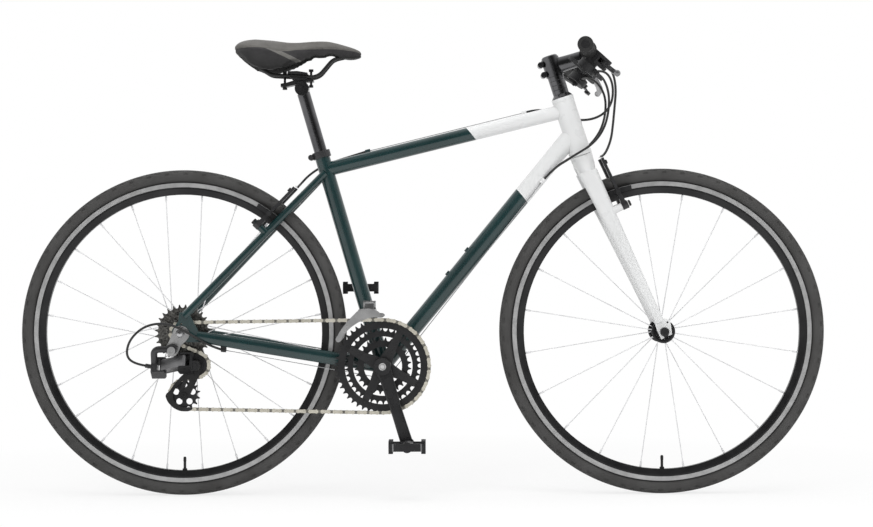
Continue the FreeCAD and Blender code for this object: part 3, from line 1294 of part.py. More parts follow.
for y in (-16, 16):
    for up in (-1, 1):
        head = bar_centre + Y * y + stem_up * (up * (bar_clamp_r + 2.6)) + stem_way * 12
        face_bolts.append(cylinder(f"face_bolt_{y}_{up}", 3.4, 4, head, stem_way))
        face_plate = face_plate.cut(Part.makeCylinder(3.45, 20, head, stem_way))
for index, height in enumerate((9, 31)):
    lug = stem_low + head_way * height - head_ahead * (clamp_r + 4)
    for side in (LEFT, RIGHT):
        face_bolts.append(cylinder(f"pinch_bolt_{index}_{side + 1}", 3.6, 3, lug + Y * side * 13,
                                   Y * side))
nodes["stem"] = shaped("stem", stem_piece)
nodes["stem_faceplate"] = grouped("stem_faceplate", shaped("faceplate", face_plate), *face_bolts)


# Handlebar, grips, brake lever brackets, brake levers and shift levers

bar_r = float(dim.bar_d) / 2
bend_y = float(dim.bar_straight)
bar_way, bend_point = {}, {}
for side in (LEFT, RIGHT):
    run = float(dim.bar_width) / 2 - bend_y
    bar_way[side] = unit(Vector(-float(dim.bar_sweep), side * run, -float(dim.bar_drop)))
    bend_point[side] = bar_centre + Y * (side * bend_y)
arm_length = Vector(float(dim.bar_sweep), float(dim.bar_width) / 2 - bend_y, float(dim.bar_drop)).Length
bar_pieces = [turned("bar_middle", bar_centre, Y, [
    (-bend_y, 0), (-bend_y, dim.bar_d / 2), (-42, dim.bar_clamp_d / 2 - 0.6),
    (-30, dim.bar_clamp_d / 2), (30, dim.bar_clamp_d / 2), (42, dim.bar_clamp_d / 2 - 0.6),
    (bend_y, dim.bar_d / 2), (bend_y, 0)])]
grips = []
for side in (LEFT, RIGHT):
    tag = "left" if side == LEFT else "right"
    bar_pieces.append(cylinder(f"bar_{tag}", dim.bar_d / 2, arm_length, bend_point[side],
                               bar_way[side]))
    elbow = doc.addObject("Part::Sphere", f"bar_elbow_{tag}")
    drive(elbow, "Radius", dim.bar_d / 2)
    elbow.Placement = Placement(bend_point[side], Rotation())
    bar_pieces.append(elbow)
    grip_start = bend_point[side] + bar_way[side] * (arm_length - float(dim.grip_length))
    end = dim.grip_length
    grips.append(turned(f"grip_{tag}", grip_start, bar_way[side], [
        (0, dim.bar_d / 2 + 0.02), (0, dim.grip_d / 2 + 2), (4, dim.grip_d / 2 + 2.2),
        (6, dim.grip_d / 2), (30, dim.grip_d / 2 - 0.6), (70, dim.grip_d / 2 + 0.4),
        (110, dim.grip_d / 2 - 0.6), (end - 3, dim.grip_d / 2 + 0.6), (end + 1, dim.grip_d / 2 + 0.6),
        (end + 4, dim.grip_d / 2 - 2), (end + 4, 0), (end + 0.1, 0), (end + 0.1, dim.bar_d / 2 + 0.02)]))
nodes["handlebar"] = fused("handlebar", *bar_pieces)
nodes["grips"] = grouped("grips", *grips)

tilt = math.radians(dim.lever_tilt)
pivot_out, pivot_ahead = -2, 42
pod_out, pod_ahead, pod_r, pod_top, pod_low = 4, 22, 21, 19, 36
trigger_out, trigger_ahead, trigger_under = 20, 45, 27


def lever_axes(side):
    """Axes at a lever clamp: outward along the bar, ahead and down, and the underside."""
    out = bar_way[side]
    ahead = Vector(math.cos(tilt), 0, -math.sin(tilt))
    ahead = unit(ahead - out * ahead.dot(out))
    under = unit(out.cross(ahead)) * side
    under = under if under.z < 0 else -under
    clamp = bend_point[side] + out * (arm_length - float(dim.grip_length) - 18)
    return clamp, out, ahead, under


def lever_point(side, out_by, ahead_by, under_by):
    clamp, out, ahead, under = lever_axes(side)
    return clamp + out * out_by + ahead * ahead_by + under * under_by


def lever_flat(side, under_by):
    clamp, out, ahead, under = lever_axes(side)
    return axes(clamp + under * under_by, out, ahead)


def lever_bracket(side):
    """The clamp round the bar, the forked housing of the brake lever and the shifter pod."""
    clamp, out, ahead, under = lever_axes(side)
    ring = Part.makeCylinder(bar_r + 4.5, 20, clamp - out * 10, out)
    block = plate([(-11, 4), (11, 4), (16, 26), (13, 46, (2, 54)), (-10, 50), (-24, 40), (-24, 22)],
                  lever_flat(side, 0), 24)
    slot = plate([(-15, 31), (60, 27), (60, 90), (-15, 90)], lever_flat(side, 0), 10)
    neck = plate([(-12, 8), (14, 8), (14, 34), (-12, 34)], lever_flat(side, 13.5), 13)
    pod = Part.makeCylinder(pod_r, pod_low - pod_top, lever_point(side, pod_out, pod_ahead, pod_top),
                            under)
    pin = Part.makeCylinder(2.5, 22, lever_point(side, pivot_out, pivot_ahead, -11), under)
    thumb_pin = Part.makeCylinder(3, 9, lever_point(side, pod_out, pod_ahead, pod_low - 1), under)
    trigger_foot = lever_point(side, trigger_out, trigger_ahead, trigger_under - 5)
    trigger_pin = Part.makeCylinder(2, 8, trigger_foot, under)
    to_pod = lever_point(side, pod_out, pod_ahead, 0) - lever_point(side, trigger_out, trigger_ahead, 0)
    trigger_ear = plate(slot_outline(20, 4.5), axes(trigger_foot, to_pod, out), 4)
    barrel = Part.makeCylinder(5, 18, lever_point(side, -20, 34, 0), -out)
    shift_barrel = Part.makeCylinder(4.5, 16, lever_point(side, pod_out - 18, pod_ahead + 4, 27), -out)
    whole = ring.multiFuse([block, neck, pod, barrel, shift_barrel]).cut(slot)
    whole = whole.multiFuse([pin, thumb_pin, trigger_pin, trigger_ear])
    return whole.cut(Part.makeCylinder(bar_r + 0.02, 60, clamp - out * 30, out)).removeSplitter()


def brake_lever(side):
    """A two-finger lever with a ball end, swinging on its pin in the bracket."""
    reach, length = float(dim.lever_reach), float(dim.lever_length)
    blade_shape = plate([(-9, 36), (8, 35), (20, 48), (44, reach - 19, (72, reach - 9)),
                         (length - 6, reach - 5.5), (length - 6, reach + 3.5, (66, reach + 0.5)),
                         (38, reach - 8), (12, 60), (0, 51), (-9, 48)],
                        lever_flat(side, 0), 9)
    ball = Part.makeSphere(6.5, lever_point(side, length - 4, reach - 1, 0))
    under = lever_axes(side)[3]
    bore = Part.makeCylinder(2.5 + RUNNING_GAP, 40, lever_point(side, pivot_out, pivot_ahead, -20), under)
    return blade_shape.fuse(ball).cut(bore).removeSplitter()


def thumb_lever(side):
    """The main shift lever: a paddle under the pod, pushed by the thumb."""
    under = lever_axes(side)[3]
    hub = lever_point(side, pod_out, pod_ahead, pod_low + 3)
    tip = lever_point(side, 38, -6, pod_low + 3)
    flat = axes(hub, tip - hub, under.cross(tip - hub))
    reach = (tip - hub).Length
    bar_plate = plate([(0, -7), (reach - 6, -6, (reach + 6, 0)), (reach - 6, 6), (0, 7, (-7, 0))],
                      flat, 4.6)
    paddle = plate([(-8, -6.5), (6, -8.5, (9, 0)), (6, 8.5), (-8, 6.5)],
                   axes(tip - under * 2, tip - hub, under.cross(tip - hub)), 9)
    bore = Part.makeCylinder(3 + RUNNING_GAP, 40, hub - under * 20, under)
    return bar_plate.fuse(paddle).cut(bore).removeSplitter()


def trigger_lever(side):
    """The release lever: a small trigger at the front of the pod, pulled by a finger."""
    under = lever_axes(side)[3]
    hub = lever_point(side, trigger_out, trigger_ahead, trigger_under)
    tip = lever_point(side, trigger_out + 16, trigger_ahead + 14, trigger_under)
    flat = axes(hub, tip - hub, under.cross(tip - hub))
    reach = (tip - hub).Length
    bar_plate = plate([(0, -4.5), (reach, -4, (reach + 5, 0)), (reach, 4), (0, 4.5, (-4.5, 0))],
                      flat, 3.6)
    pad = plate([(reach - 5, -5), (reach + 3, -5), (reach + 3, 6), (reach - 5, 6)],
                axes(hub + under * 1.2, tip - hub, under.cross(tip - hub)), 7)
    bore = Part.makeCylinder(2 + RUNNING_GAP, 40, hub - under * 20, under)
    return bar_plate.fuse(pad).cut(bore).removeSplitter()


nodes["lever_brackets"] = grouped("lever_brackets",
                                  *[shaped(f"lever_bracket_{side + 1}", lever_bracket(side))
                                    for side in (LEFT, RIGHT)])
for side, tag in ((LEFT, "left"), (RIGHT, "right")):
    nodes[f"{tag}_brake_lever"] = shaped(f"{tag}_brake_lever", brake_lever(side))
    nodes[f"{tag}_shift_lever"] = shaped(f"{tag}_shift_lever", thumb_lever(side))
    nodes[f"{tag}_release_trigger"] = shaped(f"{tag}_release_trigger", trigger_lever(side))
nodes["front_release_lever"] = release_lever(
    "front_release_lever", front, float(front_gap + dim.fork_end_thickness) + 13.4, blade_way)
nodes["rear_release_lever"] = release_lever(
    "rear_release_lever", rear, float(rear_gap + dim.dropout_thickness) + 13.4, X)


# Linear-pull brakes: each arm swings on its post and carries a pad on a threaded stud

def brake_arm(name, side, axle_point, way, plane_way, along_by, plane_by):
    """A brake arm and its pad, curved to follow the rim."""
    long = float(dim.brake_arm_length)
    pivot = axle_point + way * along_by + plane_way * plane_by + Y * side * float(dim.brake_pivot_y)
    arm_flat = axes(pivot, Y * side, way)
    arm_shape = plate([(8.5, 2), (5, 42), (1.5, long - 8), (1, long + 4), (-8, long + 4),
                       (-10, long - 8), (-9.5, 40), (-8.5, 2, (0, -8.8))], arm_flat, 11)
    bore = Part.makeCylinder(float(dim.brake_pivot_r) + RUNNING_GAP, 60, pivot - plane_way * 30,
                             plane_way)
    pad_r = float(dim.rim_track_r + dim.rim_flange_r) / 2 - 0.5
    gap = pivot - axle_point
    flat_gap = Vector(gap.x, 0, gap.z)
    lift = -flat_gap.dot(way) + math.sqrt(flat_gap.dot(way) ** 2 + pad_r ** 2 - flat_gap.Length ** 2)
    pad_at = flat_gap + way * lift
    face = float(dim.rim_width / 2 + dim.pad_gap)
    middle = math.degrees(math.atan2(pad_at.x, pad_at.z))
    pad = ring_sector(axle_point, side * (face + 5), pad_r - 5, pad_r + 5, middle - 5.8, 11.6, 10)
    stud_at = axle_point + pad_at
    stud = Part.makeCylinder(3, 31, stud_at + Y * side * (face + 9), Y * side)
    washer = Part.makeCylinder(6.5, 6.5, stud_at + Y * side * (face + 10), Y * side)
    arm_shape = arm_shape.cut(bore).cut(
        Part.makeCylinder(3.05, 60, stud_at + Y * side * 10, Y * side))
    nut = Part.makeCylinder(5.5, 5, stud_at + Y * side * (float(dim.brake_pivot_y) + 6.8), Y * side)
    stud_piece = pad.multiFuse([stud, washer, nut]).removeSplitter()
    return grouped(name, shaped(name + "_lever", arm_shape), shaped(name + "_pad", stud_piece))


front_arm_plane, rear_arm_plane = 39.5, 23.5
rear_offset = (stay_foot - rear).dot(stay_back)
rear_along = (stay_foot - rear).dot(stay_way) + rear_brake_along
for side, tag in ((LEFT, "left"), (RIGHT, "right")):
    nodes[f"front_brake_arm_{tag}"] = brake_arm(
        f"front_brake_arm_{tag}", side, front, blade_way, blade_ahead, front_brake_along,
        front_arm_plane)
    nodes[f"rear_brake_arm_{tag}"] = brake_arm(
        f"rear_brake_arm_{tag}", side, rear, stay_way, stay_back, rear_along,
        rear_arm_plane + rear_offset)


# Seat post, its collar, and the saddle with rails, shell and padded cover

collar_height = 14
collar_foot = seat_top - seat_way * collar_height
collar_ring = Part.makeCylinder(seat_r + 3.4, collar_height, collar_foot, seat_way)
seat_back = Vector(-seat_way.z, 0, seat_way.x)
lug_at = collar_foot + seat_way * (collar_height / 2) + seat_back * (seat_r + 7)
lug = Part.makeCylinder(6, 20, lug_at - Y * 10, Y)
slit = Part.makeBox(20, 2.4, 40, Vector(0, -1.2, -20))
slit.Placement = axes(collar_foot + seat_back * (seat_r - 1), seat_back, Y)
collar_piece = collar_ring.fuse(lug).cut(slit).cut(
    Part.makeCylinder(seat_r + 0.02, 60, collar_foot - seat_way * 20, seat_way)).removeSplitter()
collar_bolt = [cylinder(f"collar_bolt_{side + 1}", 4, 4, lug_at + Y * side * 10, Y * side)
               for side in (LEFT, RIGHT)]
nodes["seat_collar"] = grouped("seat_collar", shaped("collar", collar_piece), *collar_bolt)

post_low = seat_top - seat_way * float(dim.post_insert)
post_length = dim.post_insert + dim.post_show
tilt_point = seat_top + seat_way * (float(dim.post_show) + 10)
head_half, tilt_r = 18, 15
post_tube = cylinder("post_tube", dim.post_d / 2, post_length, post_low, seat_way)
post_core = cylinder("post_core", dim.post_d / 2 - 2.4, post_length - 20, post_low, seat_way)
post_head = cylinder("post_head", tilt_r, 2 * head_half, tilt_point - Y * head_half, Y)
nodes["seatpost"] = fused("seatpost", cut("post_hollow", post_tube, post_core), post_head)

rail_r, rail_y = float(dim.rail_d) / 2, float(dim.rail_spacing) / 2
rail_z = tilt_point.z + 25
rails = []
for side in (LEFT, RIGHT):
    line = [Vector(tilt_point.x + dx, side * y, rail_z + dz) for dx, y, dz in
            ((-94, 20, 22), (-64, rail_y, 3), (34, rail_y, -2), (66, 16, 36), (94, 10, 42))]
    rails.append(rod(line, rail_r, 30))
nodes["saddle_rails"] = grouped("saddle_rails", *[shaped(f"rail_{n}", r) for n, r in enumerate(rails)])
cheeks = Part.makeBox(40, 58, 30, Vector(tilt_point.x - 20, -29, tilt_point.z + 4))
cradle = Part.makeCylinder(tilt_r + RUNNING_GAP, 2 * head_half + 0.6, tilt_point - Y * (head_half + 0.3), Y)
top_trim = Part.makeBox(60, 30, 30, Vector(tilt_point.x - 30, -15, tilt_point.z + 26))
clamp_piece = cheeks.cut(cradle).cut(top_trim)
for rail in rails:
    clamp_piece = clamp_piece.cut(rail)
nodes["saddle_clamp"] = shaped("saddle_clamp", clamp_piece.removeSplitter())

# Stations along the saddle: distance from its tail, half width, top, lower edge, below the tail's top.
SADDLE = ((0, 42, -9, -27), (12, 60, -2, -40), (32, 73, 0, -55), (60, 76, -2, -66), (90, 70, -5, -66),
          (118, 55, -8, -56), (145, 39, -7, -42), (175, 29, -5, -33), (205, 25, -6, -33),
          (232, 22.5, -11, -38), (254, 18, -17, -39), (268, 10, -24, -35))
saddle_scale = float(dim.saddle_length) / 268
saddle_tail = tilt_point.x - 140


def saddle_section(station, share, low_lift, high):
    """One cross section of the saddle: a crowned top, full sides and a flat underside."""
    x, half_width, top, low = station
    half_width *= float(dim.saddle_width) / 152 * share
    x = saddle_tail + x * saddle_scale
    crest = float(dim.saddle_top) + (top if high is None else low + high)
    edge = float(dim.saddle_top) + low + low_lift
    tall = crest - edge
    shoulder = crest - min(0.32 * tall, 0.3 * half_width)
    if high is not None:
        points = [Vector(x, s * half_width, z) for s, z in ((-1, edge), (-1, crest), (1, crest), (1, edge))]
        return Part.makePolygon(points + points[:1])
    right, left = Vector(x, -half_width, shoulder), Vector(x, half_width, shoulder)
    low_right, low_left = Vector(x, -half_width * 0.84, edge), Vector(x, half_width * 0.84, edge)
    flank = (shoulder + edge) / 2
    return Part.Wire([
        Part.Arc(right, Vector(x, 0, crest), left).toShape(),
        Part.Arc(left, Vector(x, half_width * 0.985, flank), low_left).toShape(),
        Part.LineSegment(low_left, low_right).toShape(),
        Part.Arc(low_right, Vector(x, -half_width * 0.985, flank), right).toShape()])


recess = Part.makeLoft([saddle_section(s, 0.72, -2, 11) for s in SADDLE[1:10]], True)
shell_shape = Part.makeLoft([saddle_section(s, 0.715, 3, 10.9) for s in SADDLE[1:10]], True)
cover_shape = Part.makeLoft([saddle_section(s, 1, 0, None) for s in SADDLE], True)
cover_shape = cover_shape.cut(recess)
for rail in rails:
    shell_shape = shell_shape.cut(rail)
    cover_shape = cover_shape.cut(rail)
nodes["saddle_shell"] = shaped("saddle_shell", shell_shape)
nodes["saddle_cover"] = shaped("saddle_cover", cover_shape)


# Cables: housings that cross the steering, and those fixed along the frame

housing_r, wire_r = float(dim.housing_d) / 2, float(dim.wire_d) / 2
brake_exit = {side: lever_point(side, -38.1, 34, 0) for side in (LEFT, RIGHT)}
shift_exit = {side: lever_point(side, pod_out - 34.1, pod_ahead + 4, 27) for side in (LEFT, RIGHT)}
front_arm_top = front + blade_way * (front_brake_along + float(dim.brake_arm_length) + 7.5) \
    + blade_ahead * front_arm_plane
rear_arm_top = rear + stay_way * (rear_along + float(dim.brake_arm_length) + 7.5) \
    + stay_back * (rear_arm_plane + rear_offset)
inward = {side: -bar_way[side] for side in (LEFT, RIGHT)}

front_brake_line = cord("front brake housing", [
    brake_exit[RIGHT], brake_exit[RIGHT] + inward[RIGHT] * 34, Vector(398, -44, 892),
    Vector(408, -27, 856), Vector(404, -28, 812), Vector(399, -46, 774), Vector(393, -68, 742),
    Vector(380, -66, 711), front_arm_top + Vector(0, -30, 0)], housing_r)
front_brake_wire = rod([front_arm_top + Vector(0, -29.9, 0), front_arm_top + Vector(0, 33, 0)],
                       wire_r, 5)
rear_brake_line = cord("rear brake housing", [
    brake_exit[LEFT], brake_exit[LEFT] + inward[LEFT] * 34, Vector(396, 42, 893),
    Vector(406, 18, 862), Vector(402, 16, 822), Vector(378, 26, 797), Vector(338, 34, 789),
    Vector(292, 32, 801), Vector(251, 12.5, 815),
    top_stops[1] + top_way * (stop_length / 2 + 0.4)], housing_r)
shift_lines = []
shift_routes = {
    RIGHT: ((378, 46, 878), (394, 16, 846), (393, 16, 806), (382, 30, 768), (358, 42, 736)),
    LEFT: ((374, 48, 874), (390, 31, 842), (390, 31, 804), (380, 39, 768), (356, 45, 736))}
for side, route in shift_routes.items():
    shift_lines.append(cord("shift housing", [
        shift_exit[side], shift_exit[side] + inward[side] * 40,
        *[Vector(x, side * y, z) for x, y, z in route], Vector(316, side * 35, 711),
        stop_points[side] + down_way * 36 + Vector(2, side * 2, 0),
        stop_points[side] + down_way * (stop_length / 2 + 0.4)], housing_r))
nodes["control_cables"] = grouped(
    "control_cables", shaped("front_brake_housing", front_brake_line),
    shaped("front_brake_wire", front_brake_wire), shaped("rear_brake_housing", rear_brake_line),
    *[shaped(f"shift_housing_{n}", line) for n, line in enumerate(shift_lines)])

shell_low = shell - Z * (float(dim.shell_d) / 2)
guide_block = Part.makeBox(14, 26, 3.5, shell_low + Vector(-8, -13, -3.6))
wires = [rod([top_stops[1] - top_way * (stop_length / 2 + 0.4),
              top_stops[0] + top_way * (stop_length / 2 + 0.4)], wire_r, 5)]
rear_brake_tail = cord("rear brake tail", [
    top_stops[0] - top_way * (stop_length / 2 + 0.4), Vector(-149.6, 9.6, 715), Vector(-188, 20, 708),
    Vector(-224, 40, 696), Vector(-250, 64, 678), Vector(-262, 64, 654),
    rear_arm_top + Vector(0, 30, 0)], housing_r)
wires.append(rod([rear_arm_top + Vector(0, 29.9, 0), rear_arm_top + Vector(0, -33, 0)], wire_r, 5))
under = {RIGHT: shell_low + Vector(10, -7, -5.6), LEFT: shell_low + Vector(10, 7, -5.6)}
behind = {RIGHT: shell_low + Vector(-12, -9, -5.6), LEFT: shell_low + Vector(-12, 7, -5.6)}
chain_stop = Vector(-416, -64.5, 308)
wires.append(rod([stop_points[RIGHT] - down_way * (stop_length / 2 + 0.4), under[RIGHT], behind[RIGHT],
                  chain_stop + Vector(5, 0.6, -0.5)], wire_r, 8))
wires.append(rod([stop_points[LEFT] - down_way * (stop_length / 2 + 0.4), under[LEFT], behind[LEFT],
                  shell + Vector(-32, -8, 0), Vector(-118, -21, 372)], wire_r, 6))
loop = cord("derailleur loop", [
    chain_stop, Vector(-446, -72, 318), Vector(-484, -90, 344), Vector(-526, -100, 366),
    Vector(-572, -98, 362), Vector(-606, -91, 334), Vector(-617, -80, 300),
    adjuster_end + adjuster_way * 26.2, adjuster_end + adjuster_way * 0.1], housing_r)
stop_way = Vector(-0.99, -0.09, 0.09)
stop_block = Part.makeBox(11, 5, 9, chain_stop + Vector(-4, -2.2, 1)).fuse(
    Part.makeCylinder(3.8, 11, chain_stop + Vector(6.5, 0.6, -0.6), stop_way))
stop_block = stop_block.cut(chain_bars[1].Shape).cut(loop).cut(wires[2])
nodes["frame_cables"] = grouped(
    "frame_cables", shaped("cable_guide", guide_block), shaped("rear_brake_tail", rear_brake_tail),
    shaped("derailleur_loop", loop), shaped("chain_stay_stop", stop_block),
    *[shaped(f"frame_wire_{n}", w) for n, w in enumerate(wires)])


# Check every piece, then write one file for each

doc.recompute()
for item in doc.Objects:
    if any(word in ("Invalid", "Error") for word in item.State):
        raise RuntimeError(f"{item.Label} did not build: {item.State}")
for label, item in nodes.items():
    item.Label = label
    if item.Shape.isNull() or not item.Shape.isValid():
        raise RuntimeError(f"{label} has no sound shape")
os.makedirs("parts", exist_ok=True)
for label, item in nodes.items():
    item.Shape.exportStep(f"parts/{label}.step")
print(len(nodes), "pieces written")
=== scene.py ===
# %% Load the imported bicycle
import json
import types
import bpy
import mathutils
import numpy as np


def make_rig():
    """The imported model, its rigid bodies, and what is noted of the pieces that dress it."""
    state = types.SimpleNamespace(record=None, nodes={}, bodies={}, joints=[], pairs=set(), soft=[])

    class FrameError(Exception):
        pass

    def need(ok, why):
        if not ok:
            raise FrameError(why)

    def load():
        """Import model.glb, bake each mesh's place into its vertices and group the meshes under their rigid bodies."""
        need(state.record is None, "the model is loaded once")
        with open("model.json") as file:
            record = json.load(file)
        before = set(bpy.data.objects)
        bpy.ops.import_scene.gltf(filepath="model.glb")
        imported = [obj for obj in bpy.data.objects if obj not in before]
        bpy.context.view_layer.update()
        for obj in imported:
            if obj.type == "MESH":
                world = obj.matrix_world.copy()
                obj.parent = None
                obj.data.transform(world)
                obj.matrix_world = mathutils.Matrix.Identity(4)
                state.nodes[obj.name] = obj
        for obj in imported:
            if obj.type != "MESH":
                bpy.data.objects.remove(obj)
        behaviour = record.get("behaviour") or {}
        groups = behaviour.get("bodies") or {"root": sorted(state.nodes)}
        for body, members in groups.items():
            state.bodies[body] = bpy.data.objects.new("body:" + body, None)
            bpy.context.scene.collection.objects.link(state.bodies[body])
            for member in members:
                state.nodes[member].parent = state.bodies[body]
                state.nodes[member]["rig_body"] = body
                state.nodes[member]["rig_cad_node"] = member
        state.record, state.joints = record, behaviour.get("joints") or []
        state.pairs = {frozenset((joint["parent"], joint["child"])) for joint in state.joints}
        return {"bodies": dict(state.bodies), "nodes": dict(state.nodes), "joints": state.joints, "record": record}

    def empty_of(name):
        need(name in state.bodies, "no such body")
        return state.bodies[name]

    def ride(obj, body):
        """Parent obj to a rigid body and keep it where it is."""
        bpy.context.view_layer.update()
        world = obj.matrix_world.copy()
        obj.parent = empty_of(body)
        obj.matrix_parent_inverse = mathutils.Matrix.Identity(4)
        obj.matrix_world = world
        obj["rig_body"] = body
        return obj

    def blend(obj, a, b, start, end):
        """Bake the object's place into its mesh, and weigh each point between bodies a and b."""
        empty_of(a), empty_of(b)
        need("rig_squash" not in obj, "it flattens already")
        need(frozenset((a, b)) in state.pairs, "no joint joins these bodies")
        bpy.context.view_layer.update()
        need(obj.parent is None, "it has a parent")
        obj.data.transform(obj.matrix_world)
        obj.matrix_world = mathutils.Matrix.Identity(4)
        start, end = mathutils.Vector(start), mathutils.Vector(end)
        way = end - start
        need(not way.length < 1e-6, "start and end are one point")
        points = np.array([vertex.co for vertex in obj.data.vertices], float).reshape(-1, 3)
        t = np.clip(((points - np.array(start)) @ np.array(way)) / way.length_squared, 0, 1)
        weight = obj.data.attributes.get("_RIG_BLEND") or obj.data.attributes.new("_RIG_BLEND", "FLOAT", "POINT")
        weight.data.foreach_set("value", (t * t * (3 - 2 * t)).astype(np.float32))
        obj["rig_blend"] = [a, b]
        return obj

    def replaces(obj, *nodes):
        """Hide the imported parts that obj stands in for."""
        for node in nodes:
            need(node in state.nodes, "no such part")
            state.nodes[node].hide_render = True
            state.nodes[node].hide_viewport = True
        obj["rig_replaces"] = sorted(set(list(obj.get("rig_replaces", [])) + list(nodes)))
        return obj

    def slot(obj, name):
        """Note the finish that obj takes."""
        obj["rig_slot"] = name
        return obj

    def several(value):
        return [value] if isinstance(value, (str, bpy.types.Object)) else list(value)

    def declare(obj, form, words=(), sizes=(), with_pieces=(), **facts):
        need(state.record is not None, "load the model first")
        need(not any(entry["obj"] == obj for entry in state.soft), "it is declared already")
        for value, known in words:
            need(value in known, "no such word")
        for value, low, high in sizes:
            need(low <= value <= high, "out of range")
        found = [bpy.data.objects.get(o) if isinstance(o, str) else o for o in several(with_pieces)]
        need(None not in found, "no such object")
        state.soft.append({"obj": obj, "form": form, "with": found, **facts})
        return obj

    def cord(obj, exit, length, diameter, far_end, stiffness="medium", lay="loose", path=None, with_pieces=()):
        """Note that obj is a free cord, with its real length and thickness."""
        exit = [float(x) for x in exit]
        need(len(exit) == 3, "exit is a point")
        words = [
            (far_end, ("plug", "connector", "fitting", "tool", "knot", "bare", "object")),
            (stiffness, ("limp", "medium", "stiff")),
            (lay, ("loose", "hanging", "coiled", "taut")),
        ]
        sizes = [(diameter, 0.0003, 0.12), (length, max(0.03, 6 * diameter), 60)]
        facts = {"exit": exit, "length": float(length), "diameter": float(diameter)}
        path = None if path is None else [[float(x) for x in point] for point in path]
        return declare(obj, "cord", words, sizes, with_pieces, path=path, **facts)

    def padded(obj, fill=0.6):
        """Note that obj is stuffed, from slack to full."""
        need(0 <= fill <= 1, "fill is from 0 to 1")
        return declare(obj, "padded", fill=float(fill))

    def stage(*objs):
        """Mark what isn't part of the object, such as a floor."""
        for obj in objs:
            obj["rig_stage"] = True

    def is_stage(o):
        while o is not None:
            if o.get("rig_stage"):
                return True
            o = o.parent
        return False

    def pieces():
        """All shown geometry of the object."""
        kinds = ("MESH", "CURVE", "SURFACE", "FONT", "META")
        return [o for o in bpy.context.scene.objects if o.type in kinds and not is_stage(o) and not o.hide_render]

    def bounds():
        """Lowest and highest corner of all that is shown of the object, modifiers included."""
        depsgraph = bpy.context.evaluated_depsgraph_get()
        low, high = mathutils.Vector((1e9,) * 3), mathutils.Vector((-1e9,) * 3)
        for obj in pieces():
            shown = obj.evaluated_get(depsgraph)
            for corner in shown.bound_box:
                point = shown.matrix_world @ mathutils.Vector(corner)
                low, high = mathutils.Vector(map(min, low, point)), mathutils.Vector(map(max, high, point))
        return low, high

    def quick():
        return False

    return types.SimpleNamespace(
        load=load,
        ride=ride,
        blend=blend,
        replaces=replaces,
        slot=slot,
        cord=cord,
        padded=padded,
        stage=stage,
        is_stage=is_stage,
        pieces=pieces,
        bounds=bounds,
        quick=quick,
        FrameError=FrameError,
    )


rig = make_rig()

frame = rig.load()

# %% [markdown]
# # Dressing a hybrid bicycle
# The solids of the bicycle are already here, each in its place and on its moving body. This lesson
# gives them their finishes and makes the soft and patterned pieces: cables, tyres, grips, saddle and
# chain. Everything is in metres, with the bicycle pointing along X and the ground at Z = 0.

# %% Names used all through
import json
import math

import bmesh
import bpy
from mathutils import Matrix, Vector

MM = 0.001
solid_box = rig.bounds()
scene = bpy.context.scene
FRONT_AXLE = Vector((504, 0, 343)) * MM
REAR_AXLE = Vector((-504, 0, 343)) * MM
WHEELS = {"front": FRONT_AXLE, "rear": REAR_AXLE}
UP, OUTWARD = Vector((0, 0, 1)), Vector((0, -1, 0))
WELD = 1e-6
print("solid box", [[round(x, 3) for x in corner] for corner in solid_box])

# %% [markdown]
# ## Camera
# The picture is a plain side view from far away, level with the middle of the bicycle. A long lens
# at 4.5 m keeps both wheels round. A nearer camera would show more of the far side than the picture
# does.

# %% Camera
FOCAL_LENGTH, ROLL = 87.8, 0.19
lens = bpy.data.cameras.new("side_camera")
lens.lens = FOCAL_LENGTH
lens.sensor_width = 36
camera = bpy.data.objects.new("side_camera", lens)
camera.location = (0.0291, -4.5, 0.487)
camera.rotation_euler = (math.radians(90), math.radians(ROLL), 0)
scene.collection.objects.link(camera)
scene.camera = camera
print("camera", tuple(camera.location), "lens", lens.lens)

# %% [markdown]
# ## Cable housings and wires
# A brake or shift cable is a steel wire in a springy plastic housing. It leaves a lever straight,
# bends in wide arcs, and ends in a stop on the frame. A bent solid tube would look like pipework, so
# each line is a NURBS spline along the route of the solid. The spline gives both the centre line and,
# with a round bevel, the tube.


# %% A cable from its route
def spline_cable(name, route, diameter):
    """A mesh tube along a NURBS spline, and the points of its centre line."""
    line = bpy.data.curves.new(name + "_line", "CURVE")
    line.dimensions = "3D"
    line.resolution_u = 10
    spline = line.splines.new("NURBS")
    spline.points.add(len(route) - 1)
    for knot, place in zip(spline.points, route):
        knot.co = (*(Vector(place) * MM), 1)
    spline.order_u = 3
    spline.use_endpoint_u = True
    holder = bpy.data.objects.new(name + "_line", line)
    scene.collection.objects.link(holder)
    bare = bpy.data.meshes.new_from_object(holder)
    path = [vertex.co.copy() for vertex in bare.vertices]
    line.bevel_depth = diameter * MM / 2
    line.bevel_resolution = 4
    line.use_fill_caps = True
    tube = bpy.data.meshes.new_from_object(holder)
    bpy.data.objects.remove(holder)
    return piece_from(welded(bmesh_of(tube)), name), path


def bmesh_of(mesh):
    bm = bmesh.new()
    bm.from_mesh(mesh)
    return bm


def welded(bm):
    """The same bmesh, joined where its points meet and with its faces turned outward."""
    bmesh.ops.remove_doubles(bm, verts=bm.verts, dist=WELD)
    bmesh.ops.recalc_face_normals(bm, faces=bm.faces)
    return bm


def piece_from(bm, name, smooth=True):
    """A new object at the origin that holds a finished bmesh."""
    mesh = bpy.data.meshes.new(name)
    bm.to_mesh(mesh)
    bm.free()
    for face in mesh.polygons:
        face.use_smooth = smooth
    piece = bpy.data.objects.new(name, mesh)
    scene.collection.objects.link(piece)
    return piece


def line_length(path):
    return sum((b - a).length for a, b in zip(path, path[1:]))


